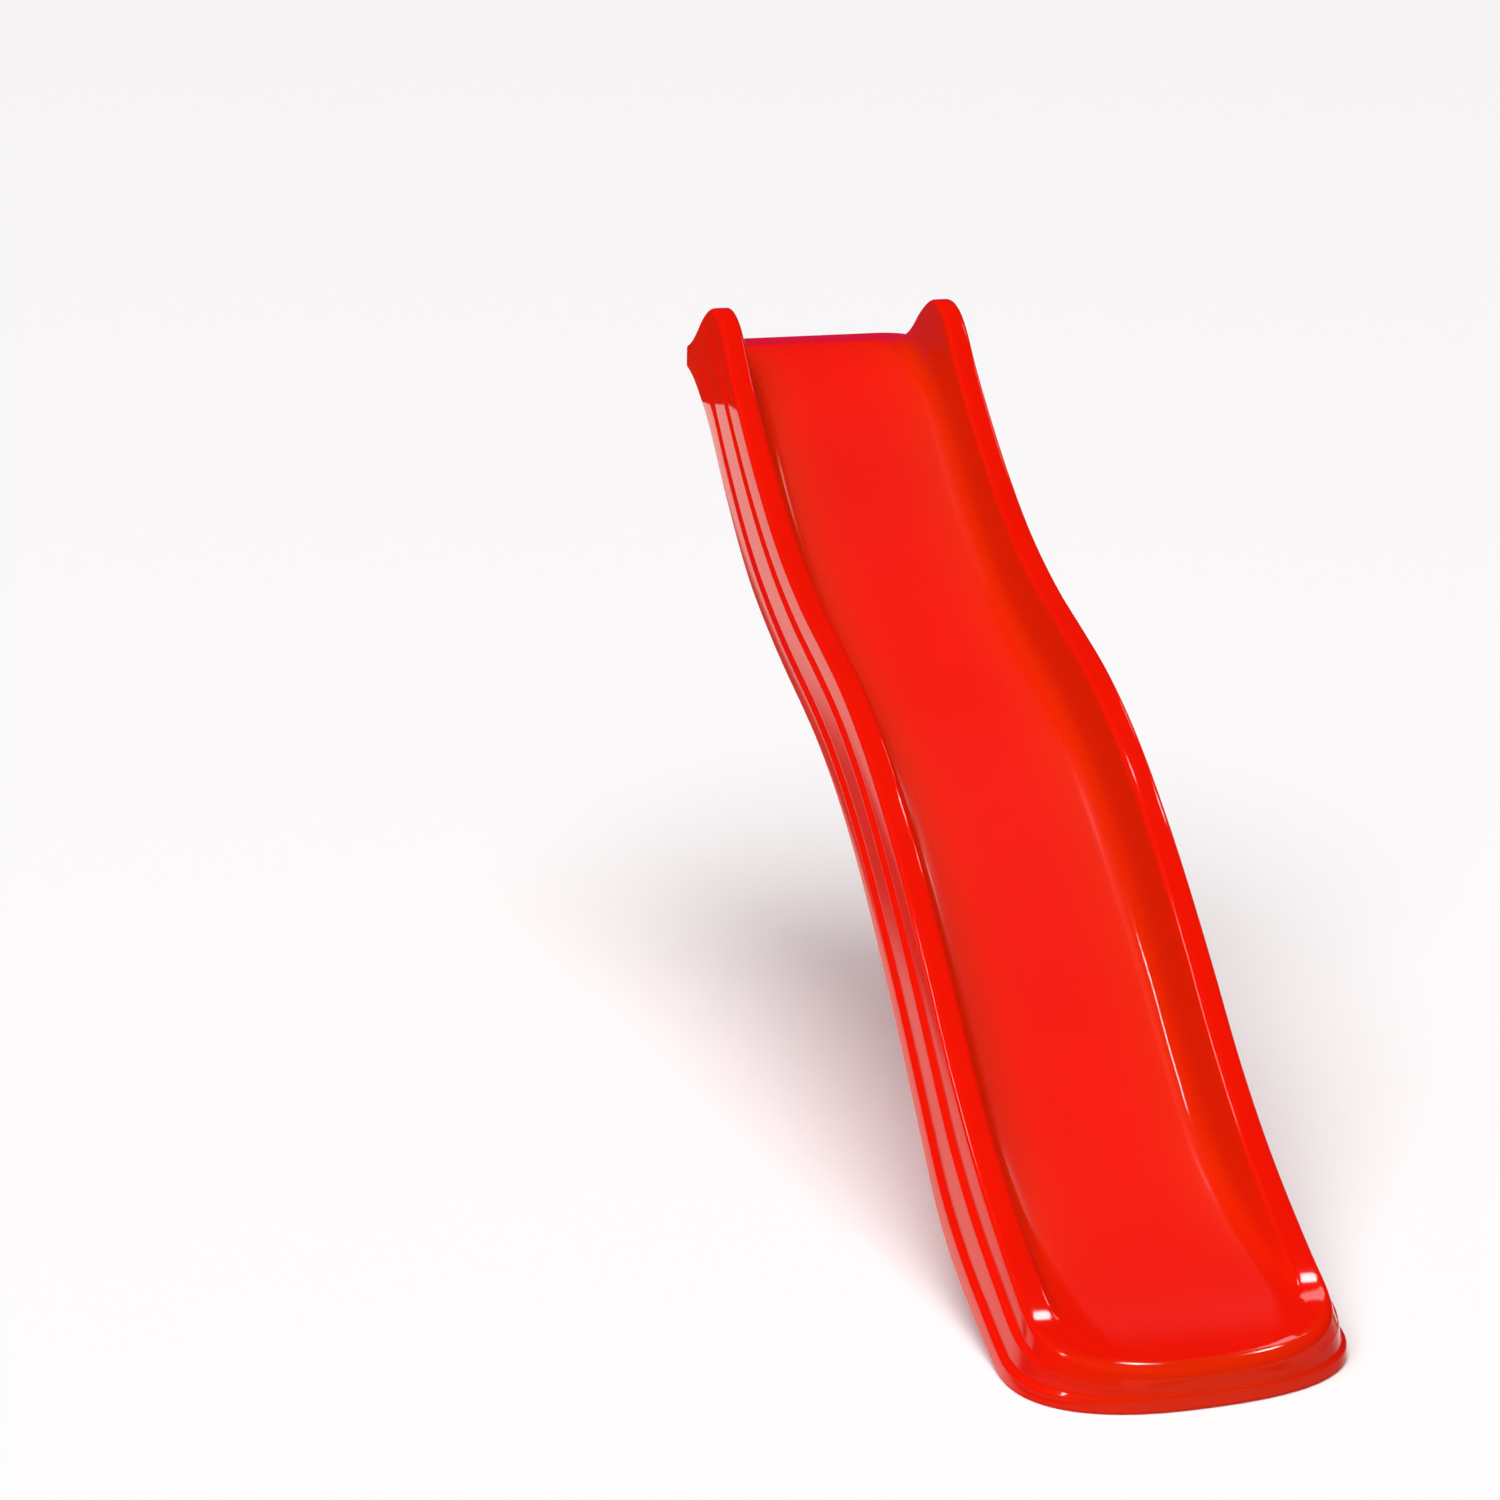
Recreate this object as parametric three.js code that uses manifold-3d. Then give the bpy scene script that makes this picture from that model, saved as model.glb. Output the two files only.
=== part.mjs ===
// Wave slide for a raised play deck: a twin-skin moulded chute that rests on the
// deck edge at its head and on the ground at its foot, with its deck fixings and
// its garden-hose fitting. Millimetres, +Z up. The slide runs down towards -Y and
// is symmetrical about X = 0. The origin is the middle of the face that rests on the deck.
import * as THREE from 'three';
import { mergeVertices } from 'three/addons/utils/BufferGeometryUtils.js';
import Module from 'manifold-3d';

const wasm = await Module();
wasm.setup();

// ---------------------------------------------------------------- driving dimensions
const DECK_HEIGHT = 1200;        // deck top above the ground
const GROUND = -DECK_HEIGHT;
const DECK_EDGE = -20;           // where the deck's front face meets the slide
const HEAD_BACK = 20;            // back edge of the head, on the deck
const FOOT_FRONT = -2056;        // foremost line of the foot
const RIM_HALF = 238;            // half width over the two rims
const BASE_HALF = 270;           // half width over the lower edge, at the foot
const HEAD_HALF = 246;           // the same at the deck, before the head draws in
const HEAD_TUCK = 8;             // how far the lower edge draws in at the deck
const TUCK_START = -190;
const SKIN = 4;                  // wall thickness of the moulding
const SKIRT_WALL = 5;            // thickness of the stepped outer walls
const GAP = 0.3;                 // between pieces that touch

const CHUTE_DEPTH = 100;         // rim above the chute floor
const FLOOR_EDGE = 177;          // floor meets wall here, before the fillet
const RIM_INNER = 197;           // wall meets rim here, before it is rounded
const FLOOR_FILLET = 38;
const RIM_ROUND = 9;
const RIM_LEAD = 6;              // flat rim outside the grid of the top
const RIM_FLAT_EDGE = RIM_HALF - RIM_LEAD;

// Side view of the wave as [Y, Z]: chute floor, rim with its ear, and lower edge.
const FLOOR_POINTS = [
  [20, 24], [-52, 24], [-130, 16], [-220, -14], [-320, -79], [-511, -251], [-643, -343],
  [-789, -412], [-913, -459], [-1010, -502], [-1132, -577], [-1344, -762], [-1477, -896],
  [-1583, -990], [-1694, -1050], [-1780, -1077], [-1905, -1103], [-2056, -1137],
];
const RIM_POINTS = [
  [20, 24], [-45, 26], [-75, 40], [-144, 95], [-195, 121], [-232, 118], [-268, 98],
  [-335, 20], [-401, -45], [-511, -142], [-625, -226], [-773, -304], [-899, -351],
  [-1000, -390], [-1122, -456], [-1300, -592], [-1471, -754], [-1578, -864],
  [-1691, -962], [-1813, -1046], [-1905, -1099], [-2056, -1137],
];
const EDGE_POINTS = [
  [DECK_EDGE, -14], [-84, -22], [-135, -36], [-183, -58], [-361, -207], [-445, -275],
  [-527, -330], [-623, -378], [-741, -427], [-846, -464], [-936, -499], [-1061, -565],
  [-1199, -666], [-1296, -755], [-1411, -869], [-1520, -985], [-1600, -1068],
  [-1690, -1126], [-1801, -1171], [-1885, GROUND], [-2056, GROUND],
];

// In plan the head has round corners, and the foot is half of a rounded oblong,
// |x/a|^n + |y/b|^n = 1, that starts where the lower edge meets the ground.
const HEAD_CORNER = 78;
const FOOT_START = -1885;
const FOOT_CURVE = 2.45;
const STEP_HALF = 0.5;           // half the run of the step down in front of the deck
const ROW_PITCH = 74;

// Towards the head each ledge of the outer wall climbs: from y, to y, and its last
// share of the height that it has further down.
const UPPER_LEDGE = { from: -270, to: -120, last: 0.40 };
const LOWER_LEDGE = { from: -220, to: -60, last: 0.72 };
const NO_CLIMB = { from: -1, to: 0, last: 1 };

// The outer wall from the rim down: share of its height, and how far in from the
// lower edge, at the sides of the slide and at the middle of the foot.
const STEPS = [
  { side: [0.00, 26.0], foot: [0.00, 26.0], climb: NO_CLIMB },
  { side: [0.03, 21.5], foot: [0.06, 12.0], climb: NO_CLIMB },
  { side: [0.09, 20.0], foot: [0.30, 5.0], climb: NO_CLIMB },
  { side: [0.30, 17.5], foot: [0.44, 3.6], climb: UPPER_LEDGE },
  { side: [0.37, 11.0], foot: [0.50, 3.4], climb: UPPER_LEDGE },
  { side: [0.70, 8.5], foot: [0.60, 3.2], climb: LOWER_LEDGE },
  { side: [0.78, 2.0], foot: [0.66, 1.4], climb: LOWER_LEDGE },
  { side: [1.00, 0.0], foot: [1.00, 0.0], climb: NO_CLIMB },
];
const RIM_INSET = 20;            // of the rim's edge, where the steps have the size above

// The underside's two stiffening channels, and how far it stays inside the edge.
const CHANNEL_DEPTH = 8;
const CHANNEL_INNER = 61;
const CHANNEL_OUTER = 89;
const CHANNEL_TOP = -330;
const CHANNEL_END = -1760;
const CHANNEL_FADE = 60;
const UNDER_INSET = 0.4;

const RED = 0xe01408;
const MATERIALS = {
  red: new THREE.MeshStandardMaterial({ color: RED, roughness: 0.22, metalness: 0 }),
  redUnder: new THREE.MeshStandardMaterial({ color: RED, roughness: 0.45, metalness: 0 }),
  zinc: new THREE.MeshStandardMaterial({ color: 0xb9bdc2, roughness: 0.35, metalness: 1 }),
  black: new THREE.MeshStandardMaterial({ color: 0x1c1d1f, roughness: 0.5, metalness: 0 }),
  rubber: new THREE.MeshStandardMaterial({ color: 0x131313, roughness: 0.8, metalness: 0 }),
  hose: new THREE.MeshStandardMaterial({ color: 0xd8dcd6, roughness: 0.35, metalness: 0 }),
};

// ---------------------------------------------------------------- curves
// A smooth line z(y) through points in falling y, its slope at each point the
// weighted mean of the two slopes beside it.
function smoothLine(points) {
  const slopes = points.map((point, i) => {
    if (i === 0 || i === points.length - 1) return 0;
    const [y0, z0] = points[i - 1];
    const [y2, z2] = points[i + 1];
    const before = (point[1] - z0) / (point[0] - y0);
    const after = (z2 - point[1]) / (y2 - point[0]);
    const share = (point[0] - y0) / (y2 - y0);
    return before * (1 - share) + after * share;
  });
  const last = points.length - 1;
  slopes[last] = (points[last][1] - points[last - 1][1]) / (points[last][0] - points[last - 1][0]);
  return (y) => {
    if (y >= points[0][0]) return points[0][1];
    let i = 0;
    while (i < last - 1 && y < points[i + 1][0]) i += 1;
    const [ya, za] = points[i];
    const [yb, zb] = points[i + 1];
    const span = yb - ya;
    const t = Math.min((y - ya) / span, 1);
    const s = t * t * (3 - 2 * t);
    const tangentA = t * (1 - t) * (1 - t) * span * slopes[i];
    const tangentB = t * t * (t - 1) * span * slopes[i + 1];
    return za * (1 - s) + zb * s + tangentA + tangentB;
  };
}

const floorLine = smoothLine(FLOOR_POINTS);
const rimLine = smoothLine(RIM_POINTS);
const edgeLine = smoothLine(EDGE_POINTS);

const smoothStep = (from, to, value) => THREE.MathUtils.smoothstep(value, from, to);

// Lower edge of the body: the ground at the foot, the deck top behind the deck edge.
const lowerEdge = (y) => (y > DECK_EDGE ? 0 : Math.max(edgeLine(y), GROUND));
const lowerSlope = (y) => {
  const level = y > DECK_EDGE || edgeLine(y) <= GROUND;
  return level ? 0 : (edgeLine(y + 2) - edgeLine(y - 2)) / 4;
};
// Height that a thickness square to the lower edge takes up.
const upright = (thickness, y) => thickness * Math.hypot(1, lowerSlope(y));

// Half width over the lower edge, which widens evenly from the deck to the foot and
// draws in at the head.
const baseHalf = (y) => {
  const way = THREE.MathUtils.clamp(y / FOOT_START, 0, 1);
  const tuck = HEAD_TUCK * smoothStep(TUCK_START, DECK_EDGE, y);
  return HEAD_HALF + (BASE_HALF - HEAD_HALF) * way - tuck;
};

// A step's inset at this y: the rim keeps its width, so the steps grow towards the foot.
function sideInset(inset, y) {
  const scale = (baseHalf(y) - RIM_HALF) / RIM_INSET;
  return Math.min(inset, RIM_INSET) * scale + Math.max(inset - RIM_INSET, 0);
}

// Rise of the chute's section at half width x, from 0 on the floor to 1 on the rim.
function wallRise(x) {
  const draft = (RIM_INNER - FLOOR_EDGE) / CHUTE_DEPTH;
  const lean = Math.atan(draft);
  const inner = Math.PI / 2 + lean;
  const footTangent = FLOOR_FILLET / Math.tan(inner / 2);
  const rimTangent = RIM_ROUND / Math.tan(inner / 2);
  const filletStart = FLOOR_EDGE - footTangent;
  const filletEnd = FLOOR_EDGE + footTangent * Math.sin(lean);
  const roundStart = RIM_INNER - rimTangent * Math.sin(lean);
  const roundEnd = RIM_INNER + rimTangent;
  let height = CHUTE_DEPTH;
  if (x <= filletStart) {
    height = 0;
  } else if (x < filletEnd) {
    height = FLOOR_FILLET - Math.sqrt(FLOOR_FILLET ** 2 - (x - filletStart) ** 2);
  } else if (x <= roundStart) {
    height = (x - FLOOR_EDGE) / draft;
  } else if (x < roundEnd) {
    height = CHUTE_DEPTH - RIM_ROUND + Math.sqrt(RIM_ROUND ** 2 - (roundEnd - x) ** 2);
  }
  return height / CHUTE_DEPTH;
}

const topHeight = (x, y) => {
  const floor = floorLine(y);
  return floor + wallRise(Math.abs(x)) * (rimLine(y) - floor);
};

// ---------------------------------------------------------------- plan of the slide
const COLUMNS_TOP = [0, 90, 146, 160, 172, 181, 189, 195.5, 199, 206, RIM_FLAT_EDGE];
const COLUMNS_UNDER = [0, 53, 62, 88, 97, 175, BASE_HALF];
const HEAD_ANGLES = [90, 72, 54, 40];
const MAIN_ROWS = [-40, -58, -75, -95, -120, -145, -170, -195, -220, -245, -270, -300, -335];
const FOOT_ROWS = 6;
const FOOT_ROW_EASE = 1.2;       // spreads the rows of the foot towards its front
const FOOT_CORNER = Math.PI / 4;
const footPower = (value) => Math.max(value, 0) ** (2 / FOOT_CURVE);

// Rows across the slide, from the back of the head to the front of the foot.
function allRows() {
  const centre = HEAD_BACK - HEAD_CORNER;
  const rows = HEAD_ANGLES.map((degrees) => {
    const y = centre + HEAD_CORNER * Math.sin(THREE.MathUtils.degToRad(degrees));
    return { y, foot: 0 };
  });
  rows.push({ y: DECK_EDGE + STEP_HALF, foot: 0 });
  rows.push({ y: DECK_EDGE - STEP_HALF, foot: 0 });
  MAIN_ROWS.forEach((y) => rows.push({ y, foot: 0 }));
  const plain = FOOT_START - MAIN_ROWS[MAIN_ROWS.length - 1];
  const count = Math.round(-plain / ROW_PITCH);
  for (let i = 1; i <= count; i += 1) {
    rows.push({ y: MAIN_ROWS[MAIN_ROWS.length - 1] + plain * i / count, foot: 0 });
  }
  for (let i = 1; i <= FOOT_ROWS; i += 1) {
    const q = i / FOOT_ROWS;
    rows.push({ y: FOOT_START, foot: q, angle: FOOT_CORNER * q ** FOOT_ROW_EASE });
  }
  return rows;
}
const ROWS = allRows();

// The right-hand end of a row on the outline that lies inSide and inFoot within
// the lower edge: a round corner at the head, and a half oblong at the foot.
function rowEnd(row, inSide, inFoot) {
  if (row.foot > 0) return footPoint(row.angle, inSide, inFoot);
  const centre = HEAD_BACK - HEAD_CORNER;
  if (row.y <= centre) return [baseHalf(row.y) - inSide, row.y];
  const sine = (row.y - centre) / HEAD_CORNER;
  const radius = HEAD_CORNER - inSide;
  const x = baseHalf(centre) - HEAD_CORNER + radius * Math.sqrt(Math.max(1 - sine ** 2, 0));
  return [x, centre + radius * sine];
}

function footPoint(angle, inSide, inFoot) {
  const half = BASE_HALF - inSide;
  const reach = FOOT_START - FOOT_FRONT - inFoot;
  return [half * footPower(Math.cos(angle)), FOOT_START - reach * footPower(Math.sin(angle))];
}

// A point of a row in plan. share runs from -1 to 1 across the row. The rows of the
// foot bow forward until the last one is the foot's front edge.
function planPoint(row, share, inSide, inFoot) {
  const [endX, endY] = rowEnd(row, inSide, inFoot);
  if (row.foot === 0) return [share * endX, endY];
  const reach = FOOT_START - FOOT_FRONT - inFoot;
  const cornerX = footPower(Math.cos(FOOT_CORNER));
  const cornerY = footPower(Math.sin(FOOT_CORNER));
  const bow = (1 - Math.abs(share * cornerX) ** FOOT_CURVE) ** (1 / FOOT_CURVE);
  const shape = (1 - bow) / (1 - cornerY);
  const middle = FOOT_START - reach * row.foot;
  return [share * endX, middle + (endY - middle) * shape];
}

// The places round a grid, in the order of gridEdge(): right side, front, left side, back.
function outline(columns) {
  const widest = columns[columns.length - 1];
  const last = ROWS[ROWS.length - 1];
  const inner = bothSides(columns).slice(1, -1).map((x) => x / widest);
  const right = ROWS.map((row) => ({ row, share: 1, angle: row.angle ?? 0 }));
  const front = [...inner].reverse().map((share) => {
    const x = Math.abs(share) * footPower(Math.cos(FOOT_CORNER));
    return { row: last, share, angle: Math.acos(x ** (FOOT_CURVE / 2)), front: true };
  });
  const left = [...right].reverse().map((place) => ({ ...place, share: -1 }));
  const back = inner.map((share) => ({ row: ROWS[0], share, angle: 0 }));
  return [...right, ...front, ...left, ...back];
}

// A point of the outer wall, at one of STEPS, moved inward, with its foot lifted.
function wallPoint(place, step, inward, lift) {
  const turn = Math.sin(place.angle) ** 2;
  const { from, to, last } = step.climb;
  const sideShare = step.side[0] * (1 - (1 - last) * smoothStep(from, to, place.row.y));
  const share = sideShare + (step.foot[0] - sideShare) * turn;
  const inSide = sideInset(step.side[1], place.row.y) + inward;
  const inFoot = step.foot[1] + inward;
  let [x, y] = planPoint(place.row, place.share, inSide, inFoot);
  if (place.front) {
    [x, y] = footPoint(place.angle, inSide, inFoot);
    x *= Math.sign(place.share);
  }
  const lowY = place.row.foot > 0 ? y : place.row.y;
  const bottom = lowerEdge(lowY) + upright(lift, lowY);
  const top = topHeight(RIM_FLAT_EDGE, y);
  return [x, y, top + (bottom - top) * share];
}

// ---------------------------------------------------------------- building skins
// A patch of surface: a grid of rows and columns, and rings of points round its edge.
class Surface {
  constructor() {
    this.points = [];
    this.faces = [];
  }

  add(point) {
    this.points.push(point);
    return this.points.length - 1;
  }

  quad(a, b, c, d) {
    this.faces.push([a, b, c], [a, c, d]);
  }

  grid(rows) {
    const ids = rows.map((row) => row.map((point) => this.add(point)));
    for (let r = 0; r < ids.length - 1; r += 1) {
      for (let c = 0; c < ids[r].length - 1; c += 1) {
        this.quad(ids[r][c], ids[r + 1][c], ids[r + 1][c + 1], ids[r][c + 1]);
      }
    }
    return ids;
  }

  ring(upper, points) {
    const lower = points.map((point) => this.add(point));
    this.join(upper, lower);
    return lower;
  }

  join(upper, lower) {
    upper.forEach((id, i) => {
      const next = (i + 1) % upper.length;
      this.quad(id, upper[next], lower[next], lower[i]);
    });
  }

  flipFrom(first) {
    for (let i = first; i < this.faces.length; i += 1) this.faces[i].reverse();
  }

  geometry() {
    const geometry = new THREE.BufferGeometry();
    const flat = this.points.flat();
    geometry.setAttribute('position', new THREE.Float32BufferAttribute(flat, 3));
    geometry.setIndex(this.faces.flat());
    return geometry;
  }
}

// The ids round the edge of a grid, in the same order as outline().
function gridEdge(ids) {
  const right = ids.map((row) => row[row.length - 1]);
  const front = ids[ids.length - 1].slice(1, -1).reverse();
  const left = ids.map((row) => row[0]).reverse();
  const back = ids[0].slice(1, -1);
  return [...right, ...front, ...left, ...back];
}

const bothSides = (columns) => {
  const left = columns.slice(1).map((x) => -x).reverse();
  return [...left, ...columns];
};

// Points moved along the surface's normals, to make the inner face of a skin.
function insetPoints(surface, distance) {
  const geometry = surface.geometry();
  geometry.computeVertexNormals();
  const normal = geometry.getAttribute('normal');
  return surface.points.map(([x, y, z], i) => [
    x - normal.getX(i) * distance,
    y - normal.getY(i) * distance,
    z - normal.getZ(i) * distance,
  ]);
}

// The upper skin: chute floor, inner walls, rims with their ears, and the stepped
// outer walls down to the line where it meets the underside.
function chuteShell() {
  const top = STEPS[0];
  const columns = bothSides(COLUMNS_TOP);
  const places = outline(COLUMNS_TOP);
  const surface = new Surface();
  const rows = ROWS.map((row) => columns.map((x) => {
    const inSide = sideInset(top.side[1], row.y);
    const [px, py] = planPoint(row, x / RIM_FLAT_EDGE, inSide, top.foot[1]);
    return [px, py, topHeight(x, py)];
  }));
  const ids = surface.grid(rows);
  const gridCount = surface.points.length;
  let ring = gridEdge(ids);
  for (const step of STEPS.slice(1)) {
    ring = surface.ring(ring, places.map((place) => wallPoint(place, step, 0, SKIN + GAP)));
  }
  const inset = insetPoints(surface, SKIN).slice(0, gridCount);
  const firstInner = surface.faces.length;
  const innerIds = surface.grid(ids.map((row) => row.map((id) => inset[id])));
  let innerRing = gridEdge(innerIds);
  for (const step of [STEPS[2], STEPS[STEPS.length - 1]]) {
    const points = places.map((place) => wallPoint(place, step, SKIRT_WALL, SKIN + GAP));
    innerRing = surface.ring(innerRing, points);
  }
  surface.flipFrom(firstInner);
  surface.join(ring, innerRing);
  return surface.geometry();
}

// The underside skin: a plate along the lower edge with two stiffening channels.
function undersideShell() {
  const columns = bothSides(COLUMNS_UNDER);
  const channel = (x, y) => {
    const across = Math.abs(x) > CHANNEL_INNER && Math.abs(x) < CHANNEL_OUTER ? 1 : 0;
    const below = 1 - smoothStep(CHANNEL_TOP - CHANNEL_FADE, CHANNEL_TOP, y);
    const above = smoothStep(CHANNEL_END, CHANNEL_END + CHANNEL_FADE, y);
    return CHANNEL_DEPTH * across * below * above;
  };
  const surface = new Surface();
  const sheet = (thickness) => ROWS.map((row) => columns.map((x) => {
    const [px, py] = planPoint(row, x / BASE_HALF, UNDER_INSET, UNDER_INSET);
    const lowY = row.foot > 0 ? py : row.y;
    return [px, py, lowerEdge(lowY) + upright(thickness + channel(x, py), lowY)];
  }));
  const upper = surface.grid(sheet(SKIN));
  const first = surface.faces.length;
  const lower = surface.grid(sheet(0));
  surface.flipFrom(first);
  surface.join(gridEdge(upper), gridEdge(lower));
  return surface.geometry();
}

// ---------------------------------------------------------------- turned pieces
const SIDES = 24;                // round pieces have this many sides
const FINE_SIDES = 28;
const FLANGE_SIDES = 32;
const HOLE_SIDES = 20;
const SMALL_SIDES = 16;
const BORE_SIDES = 12;
const HEX = 6;
const OVERLAP = 0.5;             // between two solids that are joined
const PAST = 5;                  // how far a cutting tool runs past what it cuts
const WELD = 1e-4;               // points nearer than this are one

// A triangle mesh as a closed solid that can be cut, and back again.
function solid(geometry) {
  const bare = geometry.clone();
  bare.deleteAttribute('normal');
  bare.deleteAttribute('uv');
  const merged = mergeVertices(bare, WELD);
  return new wasm.Manifold(new wasm.Mesh({
    numProp: 3,
    vertProperties: new Float32Array(merged.getAttribute('position').array),
    triVerts: new Uint32Array(merged.getIndex().array),
  }));
}

function toGeometry(manifold) {
  const mesh = manifold.getMesh();
  const geometry = new THREE.BufferGeometry();
  geometry.setAttribute('position', new THREE.Float32BufferAttribute(mesh.vertProperties, 3));
  geometry.setIndex(Array.from(mesh.triVerts));
  return geometry;
}

// A cylinder or cone along Z between two heights.
function rod(radius, from, to, sides = SIDES, endRadius = radius) {
  const geometry = new THREE.CylinderGeometry(endRadius, radius, to - from, sides);
  geometry.rotateX(Math.PI / 2);
  geometry.translate(0, 0, (from + to) / 2);
  return solid(geometry);
}

const ringSolid = (outer, inner, from, to) => (
  rod(outer, from, to).subtract(rod(inner, from - PAST, to + PAST))
);

const hexNut = (across, bore, from, to, sides = SIDES) => (
  rod(across, from, to, HEX).subtract(rod(bore, from - PAST, to + PAST, sides))
);

// A geometry moved to where an object stands.
function placed(manifold, object) {
  const geometry = toGeometry(manifold);
  object.updateMatrixWorld(true);
  geometry.applyMatrix4(object.matrixWorld);
  return solid(geometry);
}

// ---------------------------------------------------------------- deck fixings
const FIXING_X = 118;            // of each screw, left and right
const FIXING_Y = -3;
const HEAD_TOP = 24;             // top of the head above the deck
const CUP_RADIUS = 9;
const CUP_BORE = 7.2;
const CUP_FLOOR = 3;
const CUP_TOP = 21.6;
const CAP_PLAY = 0.2;            // between the cap's lid and the hole it closes
const CAP_BEVEL = 0.6;
const CAP_PLUG = 4.6;            // how deep the cap's plug goes into the cup
const SCREW_RADIUS = 3;
const SCREW_DEPTH = 40;          // into the deck
const SCREW_POINT = 8;           // length of the pointed end
const SCREW_TIP = 0.4;           // radius of the very tip
const SCREW_PLAY = 0.5;          // round the screw in the holes it passes
const SCREW_HEAD_RADIUS = 5.8;
const SCREW_HEAD_EDGE = 1.2;     // height of the head's straight edge
const SCREW_HEAD_HEIGHT = 3.6;
const SCREW_CROWN = 3.4;         // radius of the head's flat top
const SOCKET_RADIUS = 1.9;
const SOCKET_FLOOR = 1.4;        // above the head's seat
const WASHER_RADIUS = 6.8;
const WASHER_THICKNESS = 1.2;
const WASHER_PLAY = 0.4;

// A cup that stops the screw from crushing the hollow head, and carries its load.
function fixingCup() {
  const base = SKIN + GAP;
  const outside = rod(CUP_RADIUS, base, CUP_TOP, FINE_SIDES);
  const inside = rod(CUP_BORE, base + CUP_FLOOR, CUP_TOP + PAST, FINE_SIDES);
  return outside.subtract(inside).subtract(rod(SCREW_RADIUS + SCREW_PLAY, 0, CUP_TOP, HOLE_SIDES));
}

function fixingWasher() {
  const base = SKIN + CUP_FLOOR + 2 * GAP;
  return ringSolid(WASHER_RADIUS, SCREW_RADIUS + WASHER_PLAY, base, base + WASHER_THICKNESS);
}

function fixingScrew() {
  const seat = SKIN + CUP_FLOOR + WASHER_THICKNESS + 3 * GAP;
  const edge = seat + SCREW_HEAD_EDGE;
  const top = seat + SCREW_HEAD_HEIGHT;
  const pointTop = SCREW_POINT - SCREW_DEPTH;
  const shank = rod(SCREW_RADIUS, pointTop, seat + OVERLAP, SMALL_SIDES);
  const point = rod(SCREW_TIP, -SCREW_DEPTH, pointTop, SMALL_SIDES, SCREW_RADIUS);
  const skirt = rod(SCREW_HEAD_RADIUS, seat, edge);
  const crown = rod(SCREW_HEAD_RADIUS, edge, top, SIDES, SCREW_CROWN);
  const socket = rod(SOCKET_RADIUS, seat + SOCKET_FLOOR, top + PAST, HEX);
  return shank.add(point).add(skirt).add(crown).subtract(socket);
}

function fixingCap() {
  const lidRadius = CUP_RADIUS - CAP_PLAY;
  const lidBase = CUP_TOP + GAP;
  const lid = rod(lidRadius, lidBase, HEAD_TOP, FINE_SIDES, lidRadius - CAP_BEVEL);
  const plug = rod(CUP_BORE - GAP, CUP_TOP - CAP_PLUG, lidBase + OVERLAP, FINE_SIDES);
  return lid.add(plug);
}

// ---------------------------------------------------------------- garden-hose fitting
// Heights are along the fitting's own Z, which points into the hollow, from 0 on the
// underside's outer face. The turned parts are [radius, from, to].
const HOSE_X = -205;
const HOSE_Y = -195;
const HOSE_FLANGE = 15;          // across the corners
const FLANGE_ROUND = 0.9;        // how far its corners are turned off
const FLANGE_FROM = -9;
const FLANGE_TO = -4;
const HOSE_STEM = 8;             // radius of the threaded stem
const STEM_TO = 22;
const HOSE_NECK = [7.4, -20, -8];
const HOSE_COLLAR = [8.6, -24, -19.5];
const HOSE_GROOVE = [6.6, -29, -23.5];
const TAIL_RADIUS = 6.9;
const TAIL_SHOULDER = 7.9;
const TAIL_FROM = -36;
const TAIL_TO = -28.5;
const HOSE_BORE = 3;
const HOSE_NUT = 13.5;           // across the corners
const NUT_FROM = 6;
const NUT_TO = 14;
const SEAL_RADIUS = 13.5;
const SEAL_PLAY = 0.4;
const SEAL_FROM = -3.7;
const SEAL_TO = -0.9;
const BARB_RADIUS = 4.5;
const BARB_TO = 34;
const TUBE_RADIUS = 5.5;
const TUBE_BORE = 3.5;
const TUBE_LEAD = 14;            // straight lead of the tube off each barb
const TUBE_STEPS = 12;
const TUBE_CURVE = 6;            // segments in a quarter of its section
const NOZZLE_Y = -207;
const NOZZLE_RISE = 0.6;         // share of the inner wall's height
const NOZZLE_STEM = 5.5;
const NOZZLE_STEM_TO = 1.9;
const NOZZLE_FLANGE = 9;
const NOZZLE_BEVEL = 1.2;
const NOZZLE_FLANGE_FROM = 0.7;
const NOZZLE_FLANGE_TO = 3;
const NOZZLE_ELBOW = 16;         // from the wall to the middle of the elbow
const ELBOW_SHOULDER = 4;        // of the stem, past the middle of the elbow
const ELBOW_REACH = 24;          // down to the end of the nozzle's barb
const NOZZLE_BORE = 2;
const NOZZLE_NUT = 9;
const NOZZLE_NUT_FROM = -11;
const NOZZLE_NUT_TO = -6.5;
const SLOPE_SPAN = 8;            // over which the wall's slope at the nozzle is taken

const hosePlace = new THREE.Group();
hosePlace.position.set(HOSE_X, HOSE_Y, edgeLine(HOSE_Y));
hosePlace.rotation.x = Math.atan(lowerSlope(HOSE_Y));

function hoseConnector() {
  const turned = rod(HOSE_FLANGE - FLANGE_ROUND, FLANGE_FROM, FLANGE_TO, FLANGE_SIDES);
  const flange = rod(HOSE_FLANGE, FLANGE_FROM, FLANGE_TO, HEX).intersect(turned);
  const stem = rod(HOSE_STEM, FLANGE_TO - OVERLAP, STEM_TO);
  const barb = rod(BARB_RADIUS, STEM_TO - OVERLAP, BARB_TO, SMALL_SIDES);
  const tail = rod(TAIL_RADIUS, TAIL_FROM, TAIL_TO, SIDES, TAIL_SHOULDER);
  const necks = rod(...HOSE_NECK).add(rod(...HOSE_COLLAR)).add(rod(...HOSE_GROOVE));
  const bore = rod(HOSE_BORE, TAIL_FROM - PAST, BARB_TO + PAST, BORE_SIDES);
  return flange.add(stem).add(barb).add(necks).add(tail).subtract(bore);
}

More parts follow.
